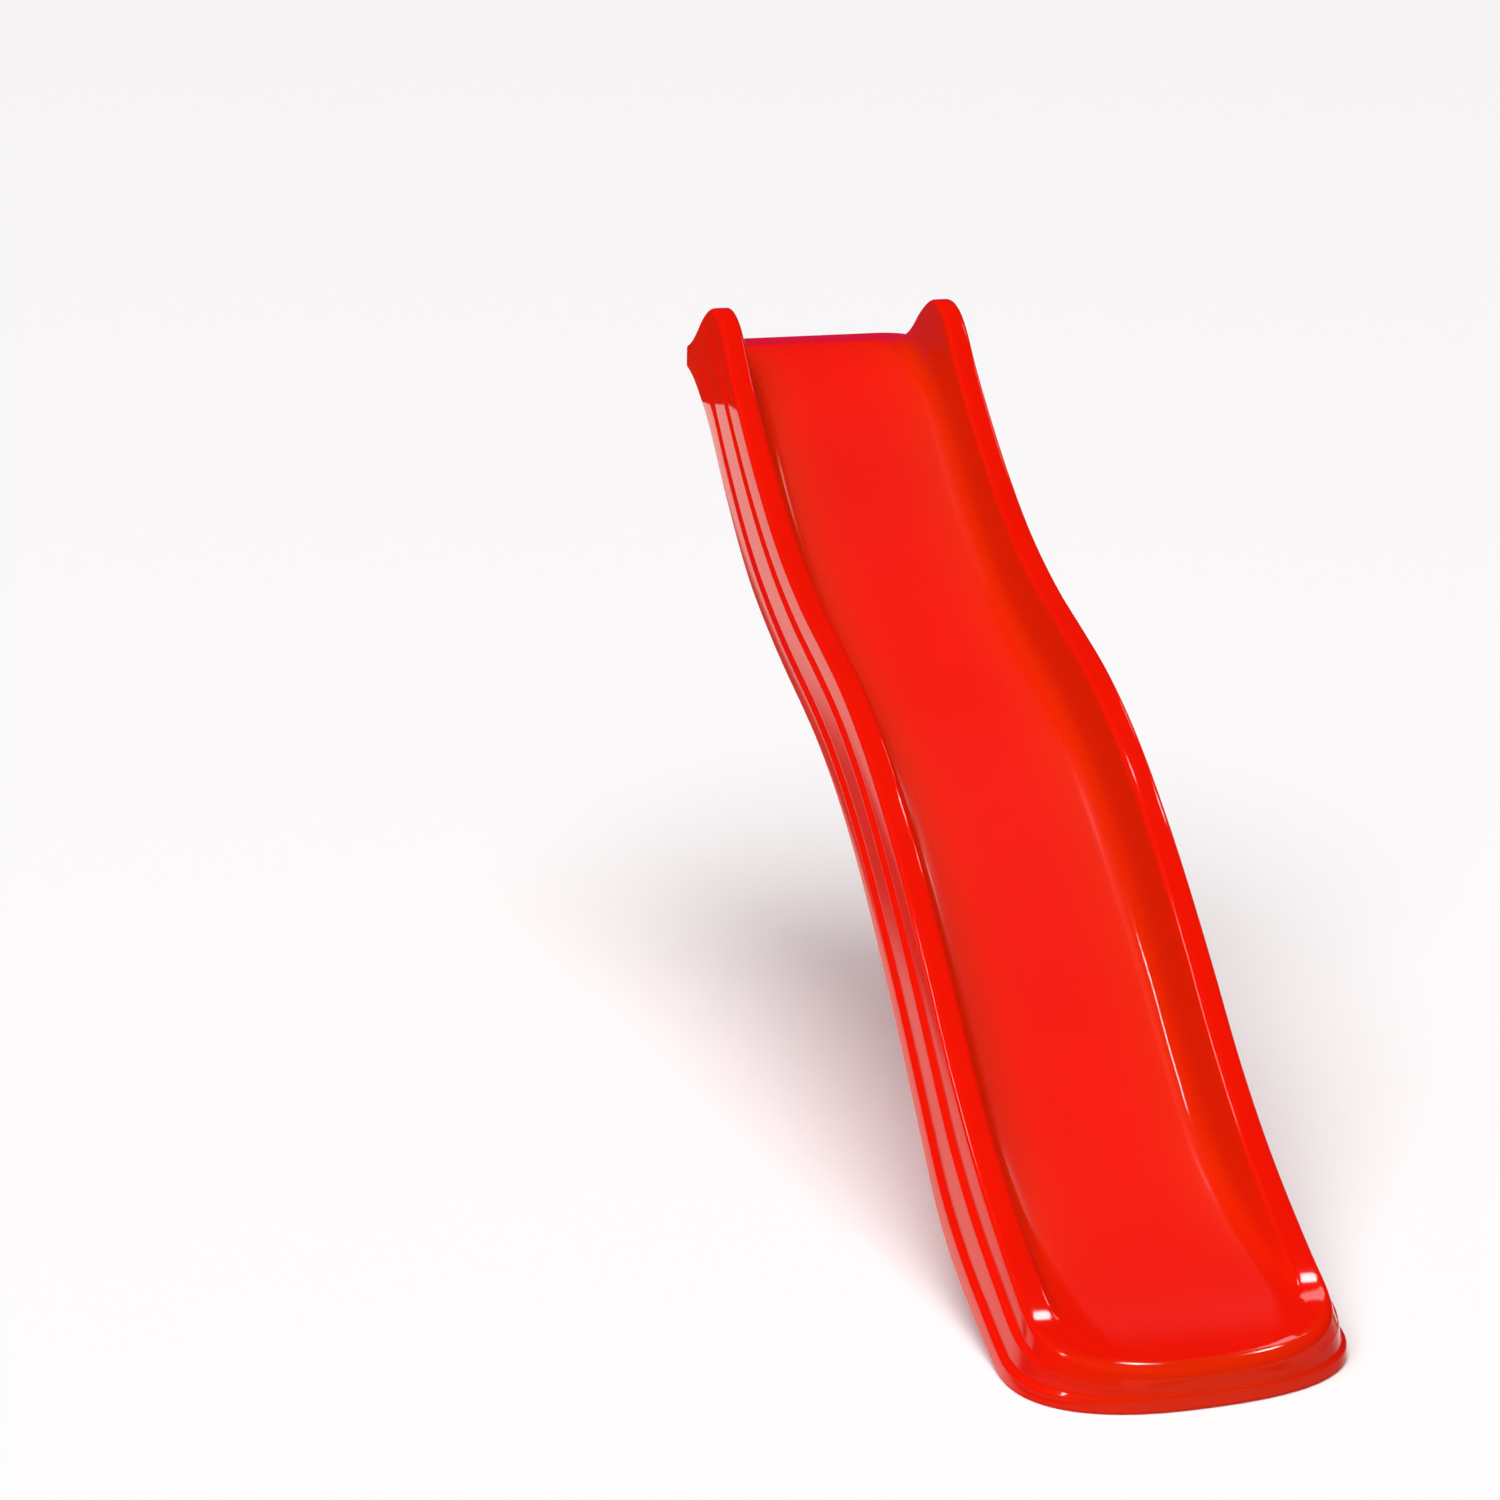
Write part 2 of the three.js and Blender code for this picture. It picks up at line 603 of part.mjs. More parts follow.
const hoseSeal = () => ringSolid(SEAL_RADIUS, HOSE_STEM + SEAL_PLAY, SEAL_FROM, SEAL_TO);
const hoseNut = () => hexNut(HOSE_NUT, HOSE_STEM + GAP, NUT_FROM, NUT_TO);

// A point of the chute's top.
const topPoint = (x, y) => new THREE.Vector3(x, y, topHeight(x, y));

// Spray nozzle in the left inner wall: its own Z points into the chute, its X down.
const nozzleX = -(FLOOR_EDGE + (RIM_INNER - FLOOR_EDGE) * NOZZLE_RISE);
const nozzlePlace = new THREE.Group();
{
  const upward = topPoint(nozzleX - 1, NOZZLE_Y).sub(topPoint(nozzleX + 1, NOZZLE_Y));
  const ahead = topPoint(nozzleX, NOZZLE_Y + SLOPE_SPAN);
  const along = ahead.sub(topPoint(nozzleX, NOZZLE_Y - SLOPE_SPAN));
  const outward = along.cross(upward).normalize();
  const down = upward.normalize().negate();
  const across = outward.clone().cross(down);
  const basis = new THREE.Matrix4().makeBasis(down, across, outward);
  nozzlePlace.quaternion.setFromRotationMatrix(basis);
  nozzlePlace.position.copy(topPoint(nozzleX, NOZZLE_Y));
}

const nozzleDown = (manifold) => {
  const geometry = toGeometry(manifold);
  geometry.rotateY(Math.PI / 2);
  geometry.translate(0, 0, -NOZZLE_ELBOW);
  return solid(geometry);
};

function waterNozzle() {
  const rim = NOZZLE_FLANGE - NOZZLE_BEVEL;
  const flange = rod(NOZZLE_FLANGE, NOZZLE_FLANGE_FROM, NOZZLE_FLANGE_TO, SIDES, rim);
  const stem = rod(NOZZLE_STEM, -NOZZLE_ELBOW - ELBOW_SHOULDER, NOZZLE_STEM_TO, HOLE_SIDES);
  const elbow = nozzleDown(rod(BARB_RADIUS, 0, ELBOW_REACH, SMALL_SIDES));
  const bore = rod(NOZZLE_BORE, -NOZZLE_ELBOW, NOZZLE_FLANGE_TO + PAST, BORE_SIDES);
  const bend = nozzleDown(rod(NOZZLE_BORE, 0, ELBOW_REACH + PAST, BORE_SIDES));
  return flange.add(stem).add(elbow).subtract(bore).subtract(bend);
}

const nozzleNut = () => (
  hexNut(NOZZLE_NUT, NOZZLE_STEM + GAP, NOZZLE_NUT_FROM, NOZZLE_NUT_TO, HOLE_SIDES)
);

// The inner hose, from the connector's barb up to the nozzle's.
function waterTube() {
  const onBarb = (z) => hosePlace.localToWorld(new THREE.Vector3(0, 0, z));
  const onNozzle = (x) => nozzlePlace.localToWorld(new THREE.Vector3(x, 0, -NOZZLE_ELBOW));
  const start = onBarb(BARB_TO + GAP);
  const end = onNozzle(ELBOW_REACH + GAP);
  const lead = onBarb(BARB_TO + TUBE_LEAD);
  const meet = onNozzle(ELBOW_REACH + TUBE_LEAD);
  const path = new THREE.CubicBezierCurve3(start, lead, meet, end);
  const section = new THREE.Shape();
  section.absarc(0, 0, TUBE_RADIUS, 0, 2 * Math.PI);
  const hole = new THREE.Path();
  hole.absarc(0, 0, TUBE_BORE, 0, 2 * Math.PI, true);
  section.holes.push(hole);
  const options = { extrudePath: path, steps: TUBE_STEPS, curveSegments: TUBE_CURVE };
  return new THREE.ExtrudeGeometry(section, options);
}

// ---------------------------------------------------------------- blow-hole plugs
const PLUG_ROWS = { upper: -700, lower: -1480 };
const PLUG_RADIUS = 7;
const PLUG_COLLAR = [9, -2.2, -0.7];
const PLUG_BUTTON = [8, -3, -2.1];
const PLUG_BODY_TO = 9;
const PLUG_TIP = [5.5, 8.9, 11];

function blowPlug() {
  const body = rod(PLUG_RADIUS, -1, PLUG_BODY_TO, HOLE_SIDES);
  return rod(...PLUG_COLLAR).add(rod(...PLUG_BUTTON)).add(body).add(rod(...PLUG_TIP, HOLE_SIDES));
}

function plugPlace(y) {
  const place = new THREE.Group();
  place.position.set(0, y, edgeLine(y));
  place.rotation.x = Math.atan(lowerSlope(y));
  return place;
}

// ---------------------------------------------------------------- the assembly
const slide = new THREE.Group();
slide.name = 'wave_slide';
slide.add(hosePlace, nozzlePlace);
slide.updateMatrixWorld(true);

function addPiece(parent, name, geometry, material) {
  const mesh = new THREE.Mesh(geometry, material);
  mesh.name = name;
  parent.add(mesh);
}

const WALL_CUT = 12;             // half the length of a tool that cuts through one wall
let chute = solid(chuteShell());
let underside = solid(undersideShell());

for (const [side, sign] of [['left', -1], ['right', 1]]) {
  const place = new THREE.Group();
  place.position.set(sign * FIXING_X, FIXING_Y, 0);
  slide.add(place);
  const capHole = rod(CUP_RADIUS + GAP, SKIN + PAST, HEAD_TOP + PAST, FINE_SIDES);
  const screwHole = rod(SCREW_RADIUS + SCREW_PLAY, -PAST, SKIN + PAST, HOLE_SIDES);
  chute = chute.subtract(placed(capHole, place));
  underside = underside.subtract(placed(screwHole, place));
  addPiece(place, `fixing_cup_${side}`, toGeometry(fixingCup()), MATERIALS.redUnder);
  addPiece(place, `deck_washer_${side}`, toGeometry(fixingWasher()), MATERIALS.zinc);
  addPiece(place, `deck_screw_${side}`, toGeometry(fixingScrew()), MATERIALS.zinc);
  addPiece(place, `screw_cap_${side}`, toGeometry(fixingCap()), MATERIALS.red);
}

underside = underside.subtract(placed(rod(HOSE_STEM + GAP, -WALL_CUT, WALL_CUT), hosePlace));
addPiece(hosePlace, 'hose_connector', toGeometry(hoseConnector()), MATERIALS.black);
addPiece(hosePlace, 'hose_seal', toGeometry(hoseSeal()), MATERIALS.rubber);
addPiece(hosePlace, 'hose_nut', toGeometry(hoseNut()), MATERIALS.black);

const nozzleHole = rod(NOZZLE_STEM + GAP, -WALL_CUT, WALL_CUT, HOLE_SIDES);
chute = chute.subtract(placed(nozzleHole, nozzlePlace));
addPiece(nozzlePlace, 'water_nozzle', toGeometry(waterNozzle()), MATERIALS.redUnder);
addPiece(nozzlePlace, 'nozzle_nut', toGeometry(nozzleNut()), MATERIALS.black);
addPiece(slide, 'water_tube', waterTube(), MATERIALS.hose);

for (const [name, y] of Object.entries(PLUG_ROWS)) {
  const place = plugPlace(y);
  slide.add(place);
  underside = underside.subtract(placed(rod(PLUG_RADIUS + GAP, -WALL_CUT, WALL_CUT), place));
  addPiece(place, `blow_plug_${name}`, toGeometry(blowPlug()), MATERIALS.redUnder);
}

addPiece(slide, 'chute_shell', toGeometry(chute), MATERIALS.red);
addPiece(slide, 'underside_shell', toGeometry(underside), MATERIALS.redUnder);

export default slide;
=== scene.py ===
# Looks of the wave slide: a glossy red moulded body with its small fittings, on a pale
# floor in soft studio light. The slide's lengths are in millimetres, and become metres in
# mesh_of(). The studio's are in metres.
import math

import bmesh
import bpy
import numpy as np
from mathutils import Matrix, Vector

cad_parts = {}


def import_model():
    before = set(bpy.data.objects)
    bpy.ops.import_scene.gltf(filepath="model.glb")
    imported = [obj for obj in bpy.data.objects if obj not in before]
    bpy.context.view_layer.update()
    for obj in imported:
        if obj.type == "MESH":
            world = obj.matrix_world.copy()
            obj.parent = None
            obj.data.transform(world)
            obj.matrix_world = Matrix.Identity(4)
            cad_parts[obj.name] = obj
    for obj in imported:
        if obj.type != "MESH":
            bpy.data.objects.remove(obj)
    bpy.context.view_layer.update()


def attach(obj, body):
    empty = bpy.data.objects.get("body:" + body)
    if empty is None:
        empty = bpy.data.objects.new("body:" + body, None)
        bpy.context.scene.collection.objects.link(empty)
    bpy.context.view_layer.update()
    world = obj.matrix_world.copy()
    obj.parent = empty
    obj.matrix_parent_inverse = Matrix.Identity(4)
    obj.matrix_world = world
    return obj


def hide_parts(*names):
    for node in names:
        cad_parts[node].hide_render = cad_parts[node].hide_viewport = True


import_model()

MM = 0.001

# ------------------------------------------------------------------ the slide's dimensions
GROUND = -1200.0
DECK_EDGE = -20.0                 # y of the deck's front edge
HEAD_BACK = 20.0                  # y of the head's back edge
FOOT_START = -1885.0              # y where the foot's outline begins to curve
FOOT_FRONT = -2056.0
RIM_HALF = 238.0                  # half width over the rims
BASE_HALF = 270.0                 # over the lower edge, at the foot
HEAD_HALF = 246.0                 # the same at the deck
HEAD_CORNER = 78.0                # radius of the head's corners in plan
FOOT_CURVE = 2.45                 # power of the foot's outline: 2 is an ellipse
SKIN = 5.0
SKIRT_WALL = 7.0
CHUTE_DEPTH = 100.0               # of the section that wall_rise() draws
FLOOR_EDGE = 177.0                # half width where the inner wall would meet the floor
RIM_INNER = 197.0                 # and where it would meet the rim
FLOOR_FILLET = 38.0
RIM_ROUND = 9.0
RIM_LEAD = 15.0                   # flat rim between the edge's rounding and the grid
RIM_FLAT_EDGE = RIM_HALF - RIM_LEAD
RIM_CROWN = 0.3                   # the rim's top is slightly domed across
RIM_MIDDLE = 216.0
RIM_REACH = 20.0                  # from the rim's middle, where the dome is so much lower
CROWN_START = RIM_INNER - 3       # half width where the dome begins

# Side views of the chute's floor, the rim's top and the outer walls' lower edge, as (y, z).

FLOOR_POINTS = [
    (20, 24), (-52, 24), (-130, 16), (-220, -14), (-320, -79), (-511, -251), (-643, -343),
    (-789, -412), (-913, -459), (-1010, -502), (-1132, -577), (-1344, -762), (-1477, -896),
    (-1583, -990), (-1694, -1050), (-1780, -1077), (-1905, -1103), (-2056, -1137),
]
RIM_POINTS = [
    (20, 24), (-45, 26), (-75, 40), (-144, 95), (-195, 121), (-232, 118), (-268, 98),
    (-335, 20), (-401, -45), (-511, -142), (-625, -226), (-773, -304), (-899, -351),
    (-1000, -390), (-1122, -456), (-1300, -592), (-1471, -754), (-1578, -864),
    (-1691, -962), (-1813, -1046), (-1905, -1099), (-2056, -1137),
]
EDGE_POINTS = [
    (DECK_EDGE, -14), (-84, -22), (-135, -36), (-183, -58), (-361, -207), (-445, -275),
    (-527, -330), (-623, -378), (-741, -427), (-846, -464), (-936, -499), (-1061, -565),
    (-1199, -666), (-1296, -755), (-1411, -869), (-1520, -985), (-1600, -1068),
    (-1690, -1126), (-1801, -1171), (-1885, GROUND), (-2056, GROUND),
]

# The outer wall from the rim down, at the sides and at the foot: share of its height,
# how far in from the lower edge, and how far from the corner its rounding starts.
WALL_CORNERS = [
    {"side": (0.00, 20.0, 7.5), "foot": (0.02, 5.0, 18.0)},
    {"side": (0.30, 17.5, 3.0), "foot": (0.44, 3.6, 1.0)},
    {"side": (0.36, 11.0, 3.0), "foot": (0.50, 3.4, 1.0)},
    {"side": (0.70, 8.5, 3.0), "foot": (0.58, 2.9, 2.0)},
    {"side": (0.77, 2.0, 3.0), "foot": (0.66, 1.6, 2.0)},
    {"side": (1.00, 0.0, 4.5), "foot": (1.00, 0.0, 6.0)},
]
FOOT_LEAD = 21.0                  # the same at the foot
WALL_RETURN = 8.0                 # how far the wall turns in under the lower edge
CORNER_STEPS = 6
FULL_HEIGHT = 50.0                # of the wall, below which its roundings shrink with it
# The rim's edge is rounder at the ears: from y, fully from y, fully to y, to y, and by how much.
EAR_ROUND = (-340.0, -250.0, -120.0, -30.0, 6.0)
HEAD_TUCK = 8.0                   # how far the lower edge draws in at the deck
TUCK_START = -190.0               # and from which y
# Towards the head each ledge climbs the wall: from y, to y, and its last share of its place.
UPPER_LEDGE = (-270.0, -120.0, 0.40)
LOWER_LEDGE = (-220.0, -60.0, 0.72)
LEDGE_END = 0.6                   # sine of the foot's angle where the upper ledge has gone
RIM_INSET = 20.0                  # of the rim's edge, where the steps have the size above


# ------------------------------------------------------------------ curves
def smooth_step(low, high, value):
    t = np.clip((np.asarray(value, float) - low) / (high - low), 0.0, 1.0)
    return t * t * (3 - 2 * t)


class WaveLine:
    """A line z(y) through points in falling y, with its bends evened out over a distance."""

    REACH = 120

    def __init__(self, points, evening):
        y, z = np.array(points[::-1], float).T
        self.y = np.arange(y[0] - self.REACH, y[-1] + self.REACH + 1.0)
        slope = np.gradient(z, y)
        slope[0] = (z[1] - z[0]) / (y[1] - y[0])
        slope[-1] = 0.0
        i = np.clip(np.searchsorted(y, self.y) - 1, 0, len(y) - 2)
        span = y[i + 1] - y[i]
        t = np.clip((self.y - y[i]) / span, 0, 1)
        s = t * t * (3 - 2 * t)
        line = z[i] * (1 - s) + z[i + 1] * s
        line += t * (1 - t) ** 2 * span * slope[i] + t * t * (t - 1) * span * slope[i + 1]
        beyond = np.minimum(self.y - y[0], 0)
        line += beyond * slope[0]
        offsets = np.arange(-3 * evening, 3 * evening + 1)
        weights = np.exp(-0.5 * (offsets / evening) ** 2)
        padded = np.pad(line, 3 * evening, mode="edge")
        self.z = np.convolve(padded, weights / weights.sum(), mode="valid")

    def __call__(self, y):
        return np.interp(y, self.y, self.z)


FLOOR_EVENING = 22
RIM_EVENING = 12
EDGE_EVENING = 16
SLOPE_STEP = 2.0

floor_line = WaveLine(FLOOR_POINTS, FLOOR_EVENING)
rim_line = WaveLine(RIM_POINTS, RIM_EVENING)
edge_line = WaveLine(EDGE_POINTS, EDGE_EVENING)


def lower_edge(y):
    """Height of the outer walls' lower edge, which is level on the deck and on the ground."""
    return np.where(np.asarray(y) > DECK_EDGE, 0.0, np.maximum(edge_line(y), GROUND))


def lower_slope(y):
    return (edge_line(y + SLOPE_STEP) - edge_line(y - SLOPE_STEP)) / (2 * SLOPE_STEP)


def base_half(y):
    """Half width over the lower edge, which widens evenly from the deck to the foot."""
    width = HEAD_HALF + (BASE_HALF - HEAD_HALF) * np.clip(np.asarray(y) / FOOT_START, 0, 1)
    return width - HEAD_TUCK * smooth_step(TUCK_START, DECK_EDGE, y)


def step_scale(y):
    """The rim keeps its width, so the wall's steps grow towards the foot."""
    return (base_half(y) - RIM_HALF) / RIM_INSET


def wall_rise(x):
    """Rise of the chute's section at half width x, from 0 on the floor to 1 on the rim."""
    draft = (RIM_INNER - FLOOR_EDGE) / CHUTE_DEPTH
    lean = math.atan(draft)
    half_bend = (math.pi / 2 + lean) / 2
    foot_tangent = FLOOR_FILLET / math.tan(half_bend)
    rim_tangent = RIM_ROUND / math.tan(half_bend)
    fillet_start = FLOOR_EDGE - foot_tangent
    fillet_end = FLOOR_EDGE + foot_tangent * math.sin(lean)
    round_start = RIM_INNER - rim_tangent * math.sin(lean)
    round_end = RIM_INNER + rim_tangent
    in_fillet = FLOOR_FILLET - np.sqrt(np.maximum(FLOOR_FILLET**2 - (x - fillet_start) ** 2, 0))
    in_round = np.sqrt(np.maximum(RIM_ROUND**2 - (round_end - x) ** 2, 0)) - RIM_ROUND
    height = np.select(
        [x <= fillet_start, x < fillet_end, x <= round_start, x < round_end],
        [0.0 * x, in_fillet, (x - FLOOR_EDGE) / draft, CHUTE_DEPTH + in_round],
        CHUTE_DEPTH,
    )
    dome = ((x - RIM_MIDDLE) / RIM_REACH) ** 2 * smooth_step(CROWN_START, round_end, x)
    return (height - RIM_CROWN * dome) / CHUTE_DEPTH


def top_height(x, y):
    """Height of the chute's upper face."""
    floor = floor_line(y)
    return floor + wall_rise(np.abs(x)) * (rim_line(y) - floor)


# ------------------------------------------------------------------ plan of the slide
FOOT_CORNER = math.pi / 4         # angle of the outline where the foot's last row ends
HEAD_ROWS = 14
ROW_PITCH = 9.0
FOOT_ROWS = 26
EDGE_GAP = 0.5                    # from a row to the deck's edge, where the underside steps down
ROW_ROOM = 2.0                    # no other row is nearer to that edge
FOOT_SPREAD = 1.2                 # crowds the foot's rows towards its sides
TOP_COLUMNS = [
    0, 45, 90, 120, 138, 146, 150, 154, 158, 162, 166, 170, 174, 177.5, 180.5, 183.5,
    187, 190.5, 193.5, 195.6, 196.6, 197.6, 198.8, 200.4, 202.4, 204.6, 208, 214, RIM_FLAT_EDGE,
]


def foot_power(value):
    """A sine or cosine, bent for the foot's outline."""
    return np.maximum(value, 0.0) ** (2 / FOOT_CURVE)


def rows_of_slide():
    """(y, share of the foot, angle at the foot) of each row, from the head to the front."""
    centre = HEAD_BACK - HEAD_CORNER
    rows = []
    for i in range(HEAD_ROWS + 1):
        angle = math.pi / 2 * (1 - i / HEAD_ROWS)
        y = centre + HEAD_CORNER * math.sin(angle)
        if abs(y - DECK_EDGE) > ROW_ROOM:
            rows.append((y, 0.0, 0.0))
    rows += [(DECK_EDGE + EDGE_GAP, 0.0, 0.0), (DECK_EDGE - EDGE_GAP, 0.0, 0.0)]
    rows.sort(reverse=True)
    count = round((centre - FOOT_START) / ROW_PITCH)
    for i in range(1, count + 1):
        rows.append((centre + (FOOT_START - centre) * i / count, 0.0, 0.0))
    for i in range(1, FOOT_ROWS + 1):
        share = i / FOOT_ROWS
        rows.append((FOOT_START, share, FOOT_CORNER * share**FOOT_SPREAD))
    return rows


ROWS = rows_of_slide()


def foot_point(angle, in_side, in_foot):
    """A point of the foot's outline, a quarter of a rounded oblong."""
    reach = FOOT_START - FOOT_FRONT - in_foot
    x = (BASE_HALF - in_side) * foot_power(math.cos(angle))
    return x, FOOT_START - reach * foot_power(math.sin(angle))


def row_end(row, in_side, in_foot):
    """Right-hand end of a row, on the outline so far in from the lower edge."""
    y, foot, angle = row
    if foot > 0:
        return foot_point(angle, in_side, in_foot)
    centre = HEAD_BACK - HEAD_CORNER
    if y <= centre:
        return float(base_half(y)) - in_side, y
    sine = (y - centre) / HEAD_CORNER
    radius = HEAD_CORNER - in_side
    x = float(base_half(centre)) - HEAD_CORNER + radius * math.sqrt(max(1 - sine**2, 0))
    return x, centre + radius * sine


def plan_point(row, share, in_side, in_foot):
    """Places across a row: share runs from -1 to 1. The foot's rows bow forward."""
    end_x, end_y = row_end(row, in_side, in_foot)
    share = np.asarray(share, float)
    if row[1] == 0:
        return share * end_x, end_y + 0 * share
    reach = FOOT_START - FOOT_FRONT - in_foot
    corner_x = foot_power(math.cos(FOOT_CORNER))
    corner_y = foot_power(math.sin(FOOT_CORNER))
    bow = (1 - np.abs(share * corner_x) ** FOOT_CURVE) ** (1 / FOOT_CURVE)
    shape = (1 - bow) / (1 - corner_y)
    middle = FOOT_START - reach * row[1]
    return share * end_x, middle + (end_y - middle) * shape


def both_sides(columns):
    """Half widths from the middle out, mirrored to run from left to right."""
    return [-x for x in columns[:0:-1]] + list(columns)


def outline_places(columns):
    """(row, share, angle, on the front) of each point round a grid: right, front, left, back."""
    widest = columns[-1]
    inner = [x / widest for x in both_sides(columns)[1:-1]]
    right = [(row, 1.0, row[2], False) for row in ROWS]
    front = []
    for share in reversed(inner):
        x = abs(share) * foot_power(math.cos(FOOT_CORNER))
        front.append((ROWS[-1], share, math.acos(x ** (FOOT_CURVE / 2)), True))
    left = [(row, -1.0, angle, False) for row, _, angle, _ in reversed(right)]
    back = [(ROWS[0], share, 0.0, False) for share in inner]
    return right + front + left + back


def grid_edge(ids):
    """The ids round a grid, in the order of outline_places()."""
    right = [row[-1] for row in ids]
    front = list(ids[-1][1:-1])[::-1]
    left = [row[0] for row in ids][::-1]
    return right + front + left + list(ids[0][1:-1])


# ------------------------------------------------------------------ meshes
AXIS = 0.05                       # radius of a solid profile's ends
THREAD_DEPTH = 0.12               # share of the radius
THREAD_RINGS = 6                  # in one turn
SHARP_ANGLE = math.radians(40)
TURNED_SIDES = 48


class Surface:
    """Points and faces of one piece."""

    def __init__(self):
        self.points = []
        self.faces = []
        # The first shade is painted warm bounce light and shade; the second marks the grained
        # floor.
        self.shades = {"painted_warm_shade": {}, "tread": {}}

    def add(self, points):
        first = len(self.points)
        self.points += [tuple(map(float, p)) for p in points]
        return list(range(first, len(self.points)))

    def shade(self, name, ids, values):
        self.shades[name].update(zip(ids, map(float, values)))

    def grid(self, rows, flip=False):
        ids = [self.add(row) for row in rows]
        for upper, lower in zip(ids, ids[1:]):
            for a, b, c, d in zip(upper, lower, lower[1:], upper[1:]):
                self.face(a, b, c, d, flip=flip)
        return ids

    def face(self, *corners, flip=False):
        self.faces.append(corners[::-1] if flip else corners)

    def band(self, upper, lower):
        """Joins two closed loops of ids."""
        count = len(upper)
        for i in range(count):
            j = (i + 1) % count
            self.face(upper[i], upper[j], lower[j], lower[i])

    def turned(self, place, profile, sides=TURNED_SIDES):
        """Turns rings of (radius, z, hexagon, pitch) about a place's Z, up its outside.
        A ring with a hexagon's radius is cut to its flats, and one with a pitch is threaded."""
        rings = []
        for radius, z, hexagon, pitch in profile:
            ring = []
            for i in range(sides):
                turn = 2 * math.pi * i / sides
                reach = radius
                if hexagon:
                    off_flat = turn % (math.pi / 3) - math.pi / 6
                    reach = min(radius, hexagon * math.cos(math.pi / 6) / math.cos(off_flat))
                if pitch:
                    wind = (z / pitch - i / sides) % 1
                    reach -= THREAD_DEPTH * radius * abs(2 * wind - 1)
                ring.append(place @ Vector((reach * math.cos(turn), reach * math.sin(turn), z)))
            rings.append(self.add(ring))
        for lower, upper in zip(rings, rings[1:]):
            self.band(lower, upper)
        if profile[0][0] > AXIS:
            self.band(rings[-1], rings[0])
        else:
            self.faces.append(tuple(rings[0][::-1]))
            self.faces.append(tuple(rings[-1]))


def mesh_of(name, surface):
    """A surface as a mesh in metres."""
    mesh = bpy.data.meshes.new(name)
    mesh.from_pydata([[c * MM for c in p] for p in surface.points], [], surface.faces)
    return mesh


def drill(piece, holes):
    """Cuts turned holes, each a (place, profile), into a piece."""
    surface = Surface()
    for place, profile in holes:
        surface.turned(place, profile)
    tool = bpy.data.objects.new("drill", mesh_of("drill", surface))
    bpy.context.scene.collection.objects.link(tool)
    cut = piece.modifiers.new("drill", "BOOLEAN")
    cut.operation = "DIFFERENCE"
    cut.solver = "FAST"
    cut.object = tool
    drilled = piece.evaluated_get(bpy.context.evaluated_depsgraph_get())
    piece.data = bpy.data.meshes.new_from_object(drilled)
    piece.modifiers.clear()
    piece.data.set_sharp_from_angle(angle=SHARP_ANGLE)
    bpy.data.objects.remove(tool)


def as_piece(name, surface, material, node, holes=()):
    """A surface, with any drilled holes, as the visual piece of a CAD node."""
    mesh = mesh_of(name, surface)
    for shade, values in surface.shades.items():
        if values:
            levels = [values.get(i, 0.0) for i in range(len(surface.points))]
            mesh.attributes.new(shade, "FLOAT", "POINT").data.foreach_set("value", levels)
    mesh.validate()
    shell = bmesh.new()
    shell.from_mesh(mesh)
    bmesh.ops.delete(shell, geom=[v for v in shell.verts if not v.link_faces], context="VERTS")
    bmesh.ops.recalc_face_normals(shell, faces=shell.faces)
    shell.to_mesh(mesh)
    shell.free()
    mesh.shade_smooth()
    mesh.materials.append(material)
    piece = bpy.data.objects.new(name, mesh)
    bpy.context.scene.collection.objects.link(piece)
    if holes:
        drill(piece, holes)
    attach(piece, "root")
    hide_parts(node)


def rounded(corners, steps):
    """A polyline of (u, v, reach) corners, each rounded off by a parabola over its reach."""
    line = [corners[0][:2]]
    for (bu, bv, _), (u, v, reach), (au, av, _) in zip(corners, corners[1:], corners[2:]):
        back = np.array([bu - u, bv - v])
        ahead = np.array([au - u, av - v])
        back_length, ahead_length = np.hypot(*back), np.hypot(*ahead)
        back, ahead = back / back_length, ahead / ahead_length
        corner = np.array([u, v])
        for i in range(steps + 1):
            t = i / steps
            line.append(tuple(corner + reach * ((1 - t) ** 2 * back + t**2 * ahead)))
    line.append(corners[-1][:2])
    return line


def edge_inset(row):
    """How far in from the lower edge the top's grid ends, at the side and at the foot."""
    return float(base_half(row[0])) - RIM_FLAT_EDGE, WALL_CORNERS[0]["foot"][1] + FOOT_LEAD


